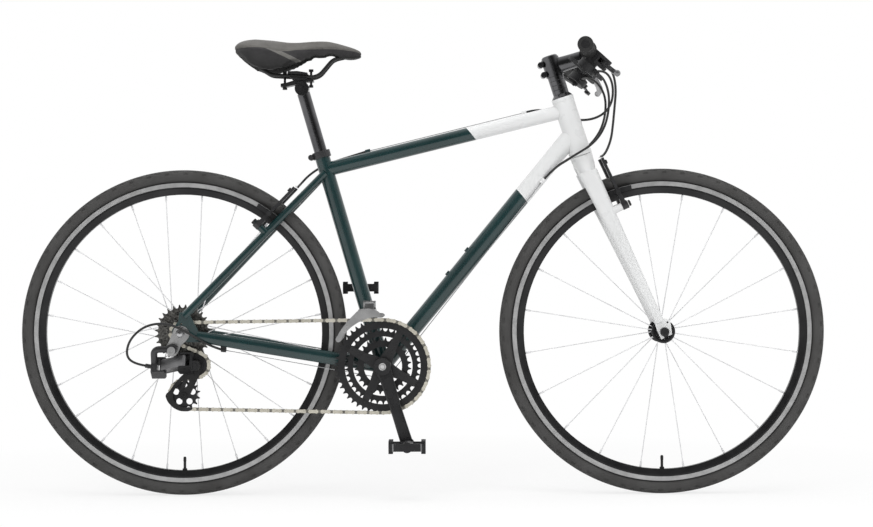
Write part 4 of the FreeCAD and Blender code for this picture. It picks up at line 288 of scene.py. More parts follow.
def settled(piece, modifier_name):
    """Applies one modifier of a piece to its mesh."""
    bpy.context.view_layer.objects.active = piece
    bpy.ops.object.modifier_apply(modifier=modifier_name)


# %% [markdown]
# The four housings at the handlebar cross the steering axis: one end turns with the bar and the
# other is held by the frame. The front brake line only goes down to the fork, so it rides on the
# steering body. The other three bend between the two bodies.

# %% Housings at the handlebar
HOUSING, WIRE = 5.0, 1.6
FRONT_BRAKE_ROUTE = (
    (370.8, -111.6, 900.4), (374.6, -77.8, 901), (398, -44, 892), (408, -27, 856), (404, -28, 812),
    (399, -46, 774), (393, -68, 742), (380, -66, 711), (375.2, -30, 710.6))
REAR_BRAKE_ROUTE = (
    (370.8, 111.6, 900.4), (374.6, 77.8, 901), (396, 42, 893), (406, 18, 862), (402, 16, 822),
    (378, 26, 797), (338, 34, 789), (292, 32, 801), (251, 12.5, 815), (220.9, 10, 807))
RIGHT_SHIFT_ROUTE = (
    (346, -116.5, 885.6), (350.5, -76.8, 886.3), (378, -46, 878), (394, -16, 846), (393, -16, 806),
    (382, -30, 768), (358, -42, 736), (316, -35, 711), (278, -22.1, 687.8), (256.9, -20.1, 664.5))
LEFT_SHIFT_ROUTE = (
    (346, 116.5, 885.6), (350.5, 76.8, 886.3), (374, 48, 874), (390, 31, 842), (390, 31, 804),
    (380, 39, 768), (356, 45, 736), (316, 35, 711), (278, 22.1, 687.8), (256.9, 20.1, 664.5))
housings, wires = [], []


def cable(name, route, diameter, slot, lay):
    """A length of housing or wire, with the facts that describe it."""
    piece, path = spline_cable(name, route, diameter)
    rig.slot(piece, slot)
    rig.cord(piece, exit=path[0], length=line_length(path), diameter=diameter * MM,
            far_end="object", stiffness="stiff", lay=lay, path=path)
    print(name, "length", round(line_length(path), 3))
    return piece


def housing_at(name, route):
    housings.append(cable(name, route, HOUSING, "housing_plastic", "loose"))
    return housings[-1]


front_brake_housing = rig.ride(housing_at("front_brake_housing", FRONT_BRAKE_ROUTE), "steering")
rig.replaces(front_brake_housing, "control_cables")
for name, route in (("rear_brake_housing", REAR_BRAKE_ROUTE),
                    ("right_shift_housing", RIGHT_SHIFT_ROUTE),
                    ("left_shift_housing", LEFT_SHIFT_ROUTE)):
    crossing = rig.blend(housing_at(name, route), "frame", "steering",
                        start=(0.27, 0, 0.72), end=(0.40, 0, 0.86))
    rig.replaces(crossing, "control_cables")

# %% [markdown]
# Behind the stops the wire runs bare and taut, and goes into housing again only where it has to
# bend: one short piece to the rear brake and one loop to the rear derailleur.

# %% Housings and bare wires on the frame
REAR_TAIL_ROUTE = (
    (-121, 10, 723.9), (-149.6, 9.6, 715), (-190, 18, 703), (-222, 34, 690), (-246, 54, 674),
    (-259, 58, 660), (-265.5, 30, 650.2))
LOOP_ROUTE = (
    (-416, -64.5, 308), (-446, -72, 318), (-484, -90, 344), (-526, -100, 366), (-572, -98, 362),
    (-606, -91, 334), (-617, -80, 300), (-603, -70.6, 281.1), (-577.3, -70.6, 276.5))
WIRE_ROUTES = {
    "top_tube_wire": ((209.7, 10, 804.2), (49.8, 10, 765.4), (-110.1, 10, 726.5)),
    "rear_brake_wire": ((-265.5, 29.9, 650.2), (-265.5, 0, 650.2), (-265.5, -33, 650.2)),
    "right_shift_wire": ((249.6, -20.1, 655.7), (-56, -8.2, 270), (-73.8, -7, 247.4),
                         (-95.8, -9, 247.4), (-120, -13, 252), (-411, -63.9, 307.5)),
    "left_shift_wire": ((249.6, 20.1, 655.7), (-56, 8.2, 270), (-73.8, 7, 247.4), (-95.8, 7, 247.4),
                        (-115.8, -8, 273), (-117, -14, 310), (-118, -21, 372))}
for name, route in (("rear_brake_tail", REAR_TAIL_ROUTE), ("derailleur_loop", LOOP_ROUTE)):
    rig.replaces(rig.ride(housing_at(name, route), "frame"), "frame_cables")


def wire_at(name, route, body, node):
    piece = cable(name, route, WIRE, "bright_steel", "taut")
    wires.append(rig.replaces(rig.ride(piece, body), node))


for name, route in WIRE_ROUTES.items():
    wire_at(name, route, "frame", "frame_cables")
wire_at("front_brake_wire", ((375.2, -29.9, 710.6), (375.2, 0, 710.6), (375.2, 33, 710.6)),
        "steering", "control_cables")

# %% [markdown]
# The cable guide under the bottom bracket is a moulded block in the same CAD node as the wires. Its
# shape is right, so a copy of that node keeps only that island of the mesh.


# %% Pieces taken out of a CAD node
def islands(bm):
    """The separate bodies of a mesh, each as a list of its faces."""
    waiting = set(bm.faces)
    while waiting:
        front, island = [waiting.pop()], []
        while front:
            face = front.pop()
            island.append(face)
            for edge in face.edges:
                for other in edge.link_faces:
                    if other in waiting:
                        waiting.remove(other)
                        front.append(other)
        yield island


def copied_islands(name, node_names, wanted):
    """A piece made of those islands of CAD nodes whose middle point is wanted."""
    bm = bmesh.new()
    for order, node_name in enumerate(node_names):
        known = len(bm.faces)
        bm.from_mesh(frame["nodes"][node_name].data)
        bm.faces.ensure_lookup_table()
        for face in bm.faces[known:]:
            face.material_index = order
    bmesh.ops.remove_doubles(bm, verts=bm.verts, dist=WELD)
    spare = []
    for island in islands(bm):
        corners = {vertex for face in island for vertex in face.verts}
        middle = sum((vertex.co for vertex in corners), Vector()) / len(corners)
        if not wanted(middle):
            spare.extend(island)
    bmesh.ops.delete(bm, geom=spare, context="FACES")
    piece = piece_from(bm, name, smooth=False)
    print(name, len(piece.data.polygons), "faces")
    return piece


def near(place, reach):
    return lambda middle: (middle - Vector(place) * MM).length < reach * MM


GUIDE_PLACE, GUIDE_REACH = (-85, 0, 251), 12
cable_guide = copied_islands("cable_guide", ["frame_cables"], near(GUIDE_PLACE, GUIDE_REACH))
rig.replaces(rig.ride(cable_guide, "frame"), "frame_cables")
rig.slot(cable_guide, "black_plastic")

# %% [markdown]
# ## Chain
# The chain lies on fixed parts and on both derailleur cages at once. It bends when a cage shifts, so
# it is split where each cage takes hold: the stretch round the chainring rides on the frame, and every
# other stretch blends from the frame to one cage. The links are copies of the CAD links, which already
# have their plates, waists and pins.

# %% Chain in five stretches
RING_TOP, CAGE_REAR, RING_BACK = -0.145, -0.03, -0.09
COG_LOW, COG_FRONT, UPPER_BACK = 0.300, -0.47, -0.504
UPPER_HEIGHT, UPPER_SLOPE = 0.318, 0.075
chain_nodes = ["chain_outer_links", "chain_inner_links"]


def on_upper_run(middle):
    height = UPPER_HEIGHT + UPPER_SLOPE * (middle.x - UPPER_BACK)
    return middle.z > height and middle.x > UPPER_BACK


def on_cassette(middle):
    return middle.x <= COG_FRONT and middle.z > COG_LOW and not on_upper_run(middle)


def on_ring(middle):
    return middle.x > RING_BACK and not on_upper_run(middle)


chain_tests = {
    "chain_upper_run": lambda m: on_upper_run(m) and m.x <= RING_TOP,
    "chain_ring_top": lambda m: on_upper_run(m) and RING_TOP < m.x <= CAGE_REAR,
    "chain_ring_wrap": lambda m: on_ring(m) or (on_upper_run(m) and m.x > CAGE_REAR),
    "chain_cassette_wrap": on_cassette,
    "chain_pulley_run": lambda m: not (on_upper_run(m) or on_cassette(m) or on_ring(m))}
chain = {name: copied_islands(name, chain_nodes, test) for name, test in chain_tests.items()}
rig.blend(chain["chain_upper_run"], "frame", "front_derailleur_cage", (-0.42, 0, 0.37), (-0.19, 0, 0.37))
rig.blend(chain["chain_ring_top"], "front_derailleur_cage", "frame", (-0.10, 0, 0.37), (-0.035, 0, 0.37))
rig.blend(chain["chain_cassette_wrap"], "frame", "rear_derailleur_cage", (-0.49, 0, 0.335), (-0.49, 0, 0.295))
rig.blend(chain["chain_pulley_run"], "frame", "rear_derailleur_cage", (-0.12, 0, 0.18), (-0.43, 0, 0.18))
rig.ride(chain["chain_ring_wrap"], "frame")
for stretch in chain.values():
    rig.replaces(stretch, *chain_nodes)
    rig.slot(stretch, "chain_steel")

# %% [markdown]
# ## Tyres
# A hybrid tyre is almost smooth: a fine ribbed middle for the road and short slanted grooves on the
# shoulders. The section is drawn once and spun round the axle. Grooves are single faces of the spun
# mesh, inset and pushed in, so that they are real hollows and not only a pattern of light and shade.

# %% Tyres
TYRE_HALF = (
    (8.2, 310.6), (9.0, 317.9), (11.0, 318.9), (12.9, 320.4), (14.5, 322.6), (15.5, 325.0), (15.9, 327.6),
    (15.75, 330.2), (15.2, 332.8), (14.2, 335.3), (12.6, 337.6), (10.6, 339.6), (8.4, 341.0),
    (7.6, 340.9), (6.8, 341.7), (4.6, 342.4), (3.8, 342.0), (3.0, 342.7), (1.0, 342.9), (0.5, 342.3))
TYRE_INSIDE = ((0, 340.4), (7, 338.9), (12.4, 334.5), (13.6, 328), (11, 321.5), (6.4, 318), (6.2, 310.6))
TREAD_STEPS = 216
SHOULDER_R, SHOULDER_Y = 334, (8.5, 11.5, 13.3, 14.8)
GROOVE_EDGE, GROOVE_DEPTH = 0.7, 1.1


def tyre(name, axle):
    """A closed tyre section spun round the axle, with grooves let into its shoulders."""
    ring = list(TYRE_HALF)
    for half in (TYRE_HALF, TYRE_INSIDE):
        ring += [(-y, r) for y, r in reversed(half)]
    ring += TYRE_INSIDE[1:]
    bm = bmesh.new()
    verts = [bm.verts.new(axle + Vector((0, y, r)) * MM) for y, r in ring]
    edges = [bm.edges.new((a, b)) for a, b in zip(verts, verts[1:] + verts[:1])]
    bmesh.ops.spin(bm, geom=verts + edges, cent=axle, axis=(0, 1, 0), angle=math.tau,
                   steps=TREAD_STEPS, use_merge=True)
    welded(bm)
    inner, first, second, outer = SHOULDER_Y
    grooves = []
    for face in bm.faces:
        away = face.calc_center_median() - axle
        step = int(math.atan2(away.z, away.x) / math.tau * TREAD_STEPS + TREAD_STEPS)
        radius, side = math.hypot(away.x, away.z) / MM, abs(away.y) / MM
        slant = step + (side > first) + 2 * (side > second)
        if radius > SHOULDER_R and inner < side < outer and slant % 4 == 0:
            grooves.append(face)
    bmesh.ops.inset_individual(bm, faces=grooves, thickness=GROOVE_EDGE * MM, depth=-GROOVE_DEPTH * MM)
    piece = piece_from(bm, name)
    print(name, len(piece.data.polygons), "faces,", len(grooves), "grooves")
    return piece


treads = []
for end, axle in WHEELS.items():
    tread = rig.ride(tyre(f"{end}_tyre_tread", axle), f"{end}_wheel")
    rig.replaces(tread, f"{end}_tyre")
    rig.slot(tread, "tyre_rubber")
    treads.append(tread)

# %% [markdown]
# Each tube has a valve that stands in the rim at its lowest point. It is a turned stem: a section
# drawn beside its axis and spun. A cylinder alone would lack the lock ring and the cap.

# %% Valves
VALVE = ((0, 0), (0, 3.2), (2, 3.2), (2, 4.6), (4, 5.2), (6, 4.6), (6, 2.9), (21, 2.9), (21, 3.25),
         (28, 3.25), (30.5, 2.2), (30.5, 0))
VALVE_FOOT = 293


def turned(profile, foot, way, steps=24):
    """A bmesh spun round an axis, from points of distance along it and radius."""
    foot = Vector(foot)
    out = way.orthogonal().normalized()
    bm = bmesh.new()
    verts = [bm.verts.new(foot + (way * along + out * radius) * MM) for along, radius in profile]
    edges = [bm.edges.new(pair) for pair in zip(verts, verts[1:])]
    bmesh.ops.spin(bm, geom=verts + edges, cent=foot, axis=way, angle=math.tau, steps=steps,
                   use_merge=True)
    return welded(bm)


valves = []
for end, axle in WHEELS.items():
    form = turned(VALVE, axle - UP * VALVE_FOOT * MM, UP)
    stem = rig.ride(piece_from(form, f"{end}_valve", smooth=False), f"{end}_wheel")
    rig.slot(stem, "black_steel")
    valves.append(stem)
print("valves", len(valves))

# %% [markdown]
# ## Grips
# The grips are soft rubber sleeves with a flange at the inner end, a closed outer end and a swelling
# in the palm. A section with shallow rings is spun round the bar, and every second face of the palm
# is pushed in for the small hollows that give hold.

# %% Grips
GRIP_WAY = Vector((-0.11328, 0.99341, -0.01743))
GRIP_START = Vector((339.37, 164.83, 922.25))
GRIP_OUTLINE = ((0, 17.4), (3, 17.6), (4, 17.3), (5.6, 15.4), (30, 14.9), (68, 15.7), (106, 14.9),
                (119, 15.4), (121, 16.0), (125, 16.0), (127, 14.6), (127, 9), (125.6, 8.4), (125.6, 0))
BAR_RADIUS, GRIP_PLUG, PALM_RADIUS = 11.2, 122.0, 13
GRIP_STEPS, PALM_CUTS = 40, 9
PALM_FROM, PALM_TO = 5, 110
HOLLOW_EDGE, HOLLOW_DEPTH, HOLLOW_RUN = 0.35, 0.5, 4
HOLLOWS_FROM, HOLLOWS_TO = 9, 112


def grip(name, side):
    """A sleeve on one end of the bar, with a chequer of small hollows in its palm."""
    way = Vector((GRIP_WAY.x, side * GRIP_WAY.y, GRIP_WAY.z)).normalized()
    start = Vector((GRIP_START.x, side * GRIP_START.y, GRIP_START.z)) * MM
    out = way.orthogonal().normalized()

    def split(point):
        """How far a point lies along the bar, and its way across it."""
        along = (point - start).dot(way)
        return along / MM, point - start - way * along

    bm = bmesh.new()
    ring = [(GRIP_PLUG, 0), (GRIP_PLUG, BAR_RADIUS), (0, BAR_RADIUS)] + list(GRIP_OUTLINE)
    verts = [bm.verts.new(start + (way * d + out * r) * MM) for d, r in ring]
    edges = [bm.edges.new(pair) for pair in zip(verts, verts[1:])]
    palm = []
    for edge in edges:
        ends = [split(vertex.co) for vertex in edge.verts]
        reach = min(across.length for along, across in ends)
        nearest = min(along for along, across in ends)
        if PALM_FROM < nearest < PALM_TO and reach > PALM_RADIUS * MM:
            palm.append(edge)
    bmesh.ops.subdivide_edges(bm, edges=palm, cuts=PALM_CUTS)
    bmesh.ops.spin(bm, geom=bm.verts[:] + bm.edges[:], cent=start, axis=way, angle=math.tau,
                   steps=GRIP_STEPS, use_merge=True)
    welded(bm)
    hollows = []
    for face in bm.faces:
        along, across = split(face.calc_center_median())
        turn = math.atan2(across.dot(way.cross(out)), across.dot(out)) / math.tau * GRIP_STEPS
        chequer = int(turn + 2 * GRIP_STEPS) + int(along / HOLLOW_RUN)
        on_palm = HOLLOWS_FROM < along < HOLLOWS_TO and across.length > PALM_RADIUS * MM
        if on_palm and chequer % 2:
            hollows.append(face)
    bmesh.ops.inset_individual(bm, faces=hollows, thickness=HOLLOW_EDGE * MM, depth=-HOLLOW_DEPTH * MM)
    print(name, len(bm.faces), "faces,", len(hollows), "hollows")
    return piece_from(bm, name)


grips = []
for tag, side in (("left", 1), ("right", -1)):
    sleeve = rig.ride(grip(f"{tag}_grip", side), "steering")
    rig.replaces(sleeve, "grips")
    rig.slot(sleeve, "grip_rubber")
    grips.append(sleeve)

# %% [markdown]
# ## Saddle
# The saddle is foam on a plastic shell under a stretched cover. The solid has its outline, but its
# faces are ruled and hard. A voxel remesh makes an even skin of it, cloth with a little pressure
# rounds that skin as foam does, and a cap keeps each point close to the solid. The seams come last,
# because a remesh would wipe them out.

# %% Saddle cover, swelled as foam
SADDLE_VOXEL, FOAM_CAP, SADDLE_WELD = 0.0045, 0.004, 1e-5

bm = bmesh_of(frame["nodes"]["saddle_cover"].data)
bmesh.ops.remove_doubles(bm, verts=bm.verts, dist=SADDLE_WELD)
saddle_skin = piece_from(bm, "saddle_skin")
remesh = saddle_skin.modifiers.new("even_skin", "REMESH")
remesh.mode = "VOXEL"
remesh.voxel_size = SADDLE_VOXEL
remesh.use_smooth_shade = True
settled(saddle_skin, "even_skin")
before = [vertex.co.copy() for vertex in saddle_skin.data.vertices]
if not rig.quick():
    cloth = saddle_skin.modifiers.new("foam", "CLOTH")
    cloth.settings.use_pressure = True
    cloth.settings.uniform_pressure_force = 4
    cloth.settings.effector_weights.gravity = 0
    cloth.settings.tension_stiffness = 40
    cloth.settings.compression_stiffness = 40
    for step in range(1, 21):
        scene.frame_set(step)
    settled(saddle_skin, "foam")
    scene.frame_set(1)
for vertex, start in zip(saddle_skin.data.vertices, before):
    shift = vertex.co - start
    if shift.length > FOAM_CAP:
        vertex.co = start + shift.normalized() * FOAM_CAP
print("saddle skin", len(saddle_skin.data.vertices), "points")

# %% Seams of the saddle
SEAM_LINE = ((-0.400, 0.9335), (-0.352, 0.938), (-0.320, 0.936), (-0.300, 0.931), (-0.255, 0.936),
             (-0.200, 0.9385), (-0.160, 0.936), (-0.120, 0.925))
SEAM_WIDTH, SEAM_DEPTH, SEAM_FACING = 0.0035, 0.0011, -0.3


def seam_height(x):
    """Height of the side seam at a station along the saddle."""
    for (xa, za), (xb, zb) in zip(SEAM_LINE, SEAM_LINE[1:]):
        if x <= xb:
            return za + (zb - za) * max(0, (x - xa) / (xb - xa))
    return SEAM_LINE[-1][1]


finer = saddle_skin.modifiers.new("finer", "SUBSURF")
finer.levels = finer.render_levels = 1
settled(saddle_skin, "finer")
bm = bmesh_of(saddle_skin.data)
bm.normal_update()
sewn = 0
for vertex in bm.verts:
    gap = abs(vertex.co.z - seam_height(vertex.co.x))
    if gap < SEAM_WIDTH and vertex.normal.z > SEAM_FACING:
        vertex.co -= vertex.normal * SEAM_DEPTH * (1 - gap / SEAM_WIDTH)
        sewn += 1
bm.to_mesh(saddle_skin.data)
bm.free()
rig.replaces(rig.ride(saddle_skin, "saddle"), "saddle_cover")
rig.slot(saddle_skin, "saddle_skin")
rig.padded(saddle_skin, fill=0.9)
print("seam points", sewn)

# %% [markdown]
# ## Saddle clamp
# The post holds the saddle rails between two small clamp halves on a cradle, with a bolt behind and a
# bolt in front. The solid is one block of the right size. Here each plate is a closed outline in the
# side view, filled and thickened, which is how such plates are cut from bar, and each bolt is turned.


# %% Plates and joined pieces
SIDE_ON = Matrix(((1, 0, 0, 0), (0, 0, 1, 0), (0, 1, 0, 0), (0, 0, 0, 1)))
EDGE = 0.4


def side_plate(outline, thick, y, smooth=False):
    """A plate in the side view: an outline of X and Z, filled, thickened and softened at its edges."""
    flat = bpy.data.curves.new("outline", "CURVE")
    flat.dimensions = "2D"
    flat.fill_mode = "BOTH"
    flat.resolution_u = 6
    flat.extrude = (thick / 2 - EDGE) * MM
    flat.bevel_depth = EDGE * MM
    flat.bevel_resolution = 1
    flat.offset = -EDGE * MM
    spline = flat.splines.new("BEZIER")
    spline.bezier_points.add(len(outline) - 1)
    for knot, (x, z) in zip(spline.bezier_points, outline):
        knot.co = Vector((x, z, 0)) * MM
        knot.handle_left_type = knot.handle_right_type = "AUTO" if smooth else "VECTOR"
    spline.use_cyclic_u = True
    holder = bpy.data.objects.new("outline", flat)
    scene.collection.objects.link(holder)
    sheet = bpy.data.meshes.new_from_object(holder)
    bpy.data.objects.remove(holder)
    bm = bmesh_of(sheet)
    place = Matrix.Translation((0, y * MM, 0)) @ SIDE_ON
    bmesh.ops.transform(bm, matrix=place, verts=bm.verts)
    return welded(bm)


def joined(name, forms, smooth=False):
    """One piece out of several bmeshes."""
    whole = bmesh.new()
    for form in forms:
        part = bpy.data.meshes.new("form")
        form.to_mesh(part)
        form.free()
        whole.from_mesh(part)
        bpy.data.meshes.remove(part)
    print(name, len(whole.faces), "faces")
    return piece_from(whole, name, smooth)


# %% Two-bolt clamp
CRADLE = ((-298, 867), (-284, 869.5), (-270, 874), (-255, 876.5), (-238, 877), (-229, 876), (-229, 871),
          (-241, 870.5), (-246, 871), (-253.4, 872.6), (-261, 871), (-270, 864), (-284, 861), (-298, 860.5))
LOWER_HALF = ((-278, 880), (-272, 875), (-247, 873.5), (-242, 878.4))
UPPER_HALF = ((-283, 886.6), (-240, 884.6), (-241, 889), (-262, 892.5), (-282, 892))
CLAMP_BOLT = ((0, 0), (0, 5), (5, 5), (5.6, 2.6), (33, 2.6), (33.4, 4.6), (38, 4.6), (38.6, 4), (38.6, 0))
CLAMP_PAD = UPPER_HALF[:2] + ((-241, 888), (-282, 890))
REAR_BOLT, FRONT_BOLT = Vector((-290, 0, 855)) * MM, Vector((-234.5, 0, 898)) * MM
clamp_forms = [side_plate(CRADLE, thick=30, y=0)]
for side in (-1, 1):
    clamp_forms.append(side_plate(LOWER_HALF, thick=12, y=side * 22))
    clamp_forms.append(side_plate(UPPER_HALF, thick=12, y=side * 22))
    clamp_forms.append(side_plate(CLAMP_PAD, thick=20, y=side * 9))
clamp_forms.append(turned(CLAMP_BOLT, REAR_BOLT, UP, 12))
clamp_forms.append(turned(CLAMP_BOLT, FRONT_BOLT, -UP, 12))
rail_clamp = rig.ride(joined("rail_clamp", clamp_forms), "saddle")
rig.replaces(rail_clamp, "saddle_clamp")
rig.slot(rail_clamp, "black_alloy")

# %% [markdown]
# ## Rear derailleur cage
# On the real derailleur the outer cage plate is a black teardrop: one arm sweeps round behind the lower
# pulley and hides the chain there, and a thin arm goes straight to its bolt. The lower pulley has five
# round windows. The plate is another filled outline, and the windows are drilled through a copy of the
# solid pulley with a Boolean, which keeps the teeth where the chain needs them.

# %% Cage plate
TENSION = Vector((-497.7, -58, 215.8))
CAGE_PLATE = (
    (10, 60), (3, 47), (-8, 36), (-19, 23), (-29, 9), (-38, -1), (-37, -8), (-29, -21), (-16, -31), (0, -35),
    (15, -32), (17, -28), (7, -26.5), (-9, -24), (-19, -15), (-23, -3), (-19, 10), (-9, 22), (3, 32),
    (10, 30), (3, 14), (-4, 8), (-8, 1), (-5, -6), (2, -8), (8, -3), (8, 5), (14, 14), (24, 30), (36, 52),
    (33, 66), (20, 70))
PULLEY_BOLT = ((0, 0), (0, 5.2), (2, 5.2), (2.6, 4.6), (2.6, 2.2), (1, 2.2), (1, 0))
outline = [(TENSION.x + x, TENSION.z + z) for x, z in CAGE_PLATE]
cage_forms = [side_plate(outline, thick=1.8, y=-66.4, smooth=True),
              turned(PULLEY_BOLT, Vector((TENSION.x, -67.3, TENSION.z)) * MM, OUTWARD, 12)]
cage_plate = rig.ride(joined("cage_plate", cage_forms), "rear_derailleur_cage")
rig.slot(cage_plate, "black_steel")

# %% [markdown]
# The cable loop starts at a sleeve on a small foot under the chain stay. In its CAD node it has grown
# together with the housing, so it is made again here. A pressed claw under the axle nut carries the
# derailleur, and a turned bolt holds it there.

# %% Chain stay stop and claw
STOP_FOOT = ((-421, 309), (-409, 308), (-409, 318), (-421, 319))
STOP_SLEEVE = ((0, 0), (0, 3.6), (0.6, 4.2), (10.4, 4.2), (11, 3.6), (11, 0))
STOP_WAY = Vector((-0.99, -0.09, 0.09)).normalized()
stop_forms = [side_plate(STOP_FOOT, thick=5, y=-64.2),
              turned(STOP_SLEEVE, Vector((-409.5, -63.9, 307.4)) * MM, STOP_WAY, 16)]
chain_stay_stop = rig.ride(joined("chain_stay_stop", stop_forms), "frame")
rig.replaces(chain_stay_stop, "frame_cables")
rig.slot(chain_stay_stop, "black_plastic")

CLAW = ((-513, 357), (-499, 359), (-488, 352), (-485, 340), (-492, 328), (-503, 317), (-509, 303),
        (-520, 295), (-532, 302), (-534, 314), (-527, 327), (-521, 342))
CLAW_BOLT = ((0, 0), (0, 8.6), (2.4, 8.6), (3, 8), (3, 4.4), (1.2, 4.4), (1.2, 0))
claw_forms = [side_plate(CLAW, thick=3, y=-76.1, smooth=True),
              turned(CLAW_BOLT, Vector((-520, -97.5, 308)) * MM, OUTWARD, 16)]
claw_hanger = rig.ride(joined("claw_hanger", claw_forms), "frame")
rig.slot(claw_hanger, "silver_alloy")

# %% Drilled pulley
WINDOWS, WINDOW_RING, WINDOW_RADIUS, DRILL_LENGTH = 5, 18, 6.4, 30


def drilled_pulley(name, node_name, centre):
    """A copy of a pulley with a ring of round windows."""
    bm = bmesh_of(frame["nodes"][node_name].data)
    bmesh.ops.remove_doubles(bm, verts=bm.verts, dist=WELD)
    pulley = piece_from(bm, name, smooth=False)
    drills = bmesh.new()
    for number in range(WINDOWS):
        turn = math.tau * (number + 0.25) / WINDOWS
        spot = (centre + Vector((math.cos(turn), 0, math.sin(turn))) * WINDOW_RING) * MM
        place = Matrix.Translation(spot) @ Matrix.Rotation(math.pi / 2, 4, "X")
        bmesh.ops.create_cone(drills, cap_ends=True, segments=20, radius1=WINDOW_RADIUS * MM,
                              radius2=WINDOW_RADIUS * MM, depth=DRILL_LENGTH * MM, matrix=place)
    tool = piece_from(drills, "pulley_drills")
    cut = pulley.modifiers.new("windows", "BOOLEAN")
    cut.object = tool
    cut.solver = "EXACT"
    settled(pulley, "windows")
    bpy.data.objects.remove(tool)
    print(name, len(pulley.data.polygons), "faces")
    return pulley


lower_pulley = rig.ride(drilled_pulley("lower_pulley", "tension_pulley", TENSION), "tension_pulley")
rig.replaces(lower_pulley, "tension_pulley")
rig.slot(lower_pulley, "black_plastic")

# %% [markdown]
# ## Hub rings, hub cap and pedal reflectors
# Dark dust rings stand round the front hub outside the spokes, and a dark nut closes the quick release on
# the drive side. Each pedal has a pale reflector at either end of its outer face. All are turned or cut
# from plate, and their places are read from the solids that carry them.

# %% Small trim
HUB_RING = ((0, 17), (0, 24), (0.8, 24.6), (3.2, 24.6), (4, 24), (4, 17), (0, 17))
HUB_CAP = ((0, 0), (0, 9.5), (5, 9.5), (7, 7.5), (7, 3), (6, 3), (6, 0))
RING_Y, CAP_DEPTH = 37.5, 6
REFLECTOR_X, REFLECTOR_HALF, REFLECTOR_TALL, REFLECTOR_INSET = 29, 1.6, 8, 1.2


def corners_of(node_name):
    """The lowest and highest corner of a solid, in millimetres."""
    points = [vertex.co / MM for vertex in frame["nodes"][node_name].data.vertices]
    return [Vector([pick(point[axis] for point in points) for axis in range(3)]) for pick in (min, max)]


ring_forms = []
for side in (-1, 1):
    ring_forms.append(turned(HUB_RING, FRONT_AXLE + Vector((0, side * RING_Y, 0)) * MM, -OUTWARD * side, 40))
hub_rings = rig.ride(joined("hub_rings", ring_forms, smooth=True), "front_wheel")
cap_y = corners_of("front_axle")[0].y + CAP_DEPTH
cap_foot = Vector((FRONT_AXLE.x, cap_y * MM, FRONT_AXLE.z))
hub_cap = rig.ride(joined("hub_cap", [turned(HUB_CAP, cap_foot, OUTWARD)]), "steering")
for piece in (hub_rings, hub_cap):
    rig.slot(piece, "black_alloy")
reflectors = []
for tag, side in (("right", -1), ("left", 1)):
    low, high = corners_of(f"{tag}_pedal")
    middle = (low + high) / 2
    face_y = low.y if side < 0 else high.y
    strips = []
    for end in (-1, 1):
        x = middle.x + end * REFLECTOR_X
        strip = [(x + dx * REFLECTOR_HALF, middle.z + dz * REFLECTOR_TALL)
                 for dx, dz in ((-1, -1), (1, -1), (1, 1), (-1, 1))]
        strips.append(side_plate(strip, thick=3, y=face_y - side * REFLECTOR_INSET))
    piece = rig.ride(joined(f"{tag}_pedal_reflectors", strips), f"{tag}_pedal")
    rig.slot(piece, "silver_alloy")
    reflectors.append(piece)

# %% [markdown]
# ## Front derailleur cage
# The front cage is a pressed steel guide: a fin-shaped outer plate, a lower inner plate, and two bridges
# that tie them over the chain. The solid has them as plain ring sectors. The outlines here are given
# as turns from straight up and distances from the crank axle, so both plates follow the chainring.

# %% Front cage
SHELL = Vector((-83.8, 0, 273))
FIN = ((-61, 104.5), (-50, 104.5), (-40, 104.5), (-30, 104.5), (-20, 104.5), (-10, 104.5), (-3, 104.5),
       (-2, 108), (-8.5, 119.5), (-15.5, 125.5), (-21.5, 127.5), (-30, 122.6), (-41.5, 117.6),
       (-54.5, 113.9), (-61, 111))
INNER_GUIDE = ((-60, 104.5), (-45, 104.5), (-30, 104.5), (-15, 104.5), (2, 104.5), (2, 109), (-15, 108.4),
               (-25, 111), (-40, 114), (-60, 110))
TAIL_BRIDGE = ((-61, 106), (-58, 106), (-58, 111), (-61, 110))
TOP_BRIDGE = ((-7, 106), (-3, 106), (-4, 109), (-7, 109))
SWING_LOW = Vector((-109.8, -44.5, 378.2))
SWING_PIN = ((-15, 0), (-15, 2.5), (11, 2.5), (11, 0))
EAR_SIZE, EAR_EDGE = (0.004, 0.013, 0.009, 1), 0.0008


def round_crank(points):
    """Outline points from turns (degrees from straight up, forward) and distances to the crank axle."""
    return [(SHELL.x + reach * math.sin(math.radians(turn)), SHELL.z + reach * math.cos(math.radians(turn)))
            for turn, reach in points]


front_forms = [side_plate(round_crank(FIN), thick=1.6, y=-64.3, smooth=True),
               side_plate(round_crank(INNER_GUIDE), thick=1.6, y=-51.7, smooth=True),
               side_plate(round_crank(TAIL_BRIDGE), thick=12.6, y=-58),
               side_plate(round_crank(TOP_BRIDGE), thick=12.6, y=-58),
               turned(SWING_PIN, SWING_LOW * MM, Vector((1, 0, 0)), 16)]
for ahead in (-13, 9):
    ear = bmesh.new()
    place = Matrix.Translation((SWING_LOW + Vector((ahead, -0.7, 0))) * MM)
    bmesh.ops.create_cube(ear, size=1, matrix=place @ Matrix.Diagonal(EAR_SIZE))
    bmesh.ops.bevel(ear, geom=ear.edges[:], offset=EAR_EDGE, affect="EDGES", segments=2,
                    profile=0.5, material=-1)
    front_forms.append(ear)
front_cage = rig.ride(joined("front_cage", front_forms), "front_derailleur_cage")
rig.replaces(front_cage, "front_derailleur_cage")
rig.slot(front_cage, "silver_alloy")

# %% [markdown]
# ## Brake arms
# A brake arm is thick at its pivot and slim towards the cable. The solid arm keeps one thickness, so a
# copy of it is thinned above the pivot, and the pad on the same node is copied as it is. A flanged bolt
# holds each arm on its post, and a small one clamps the cable at the top.

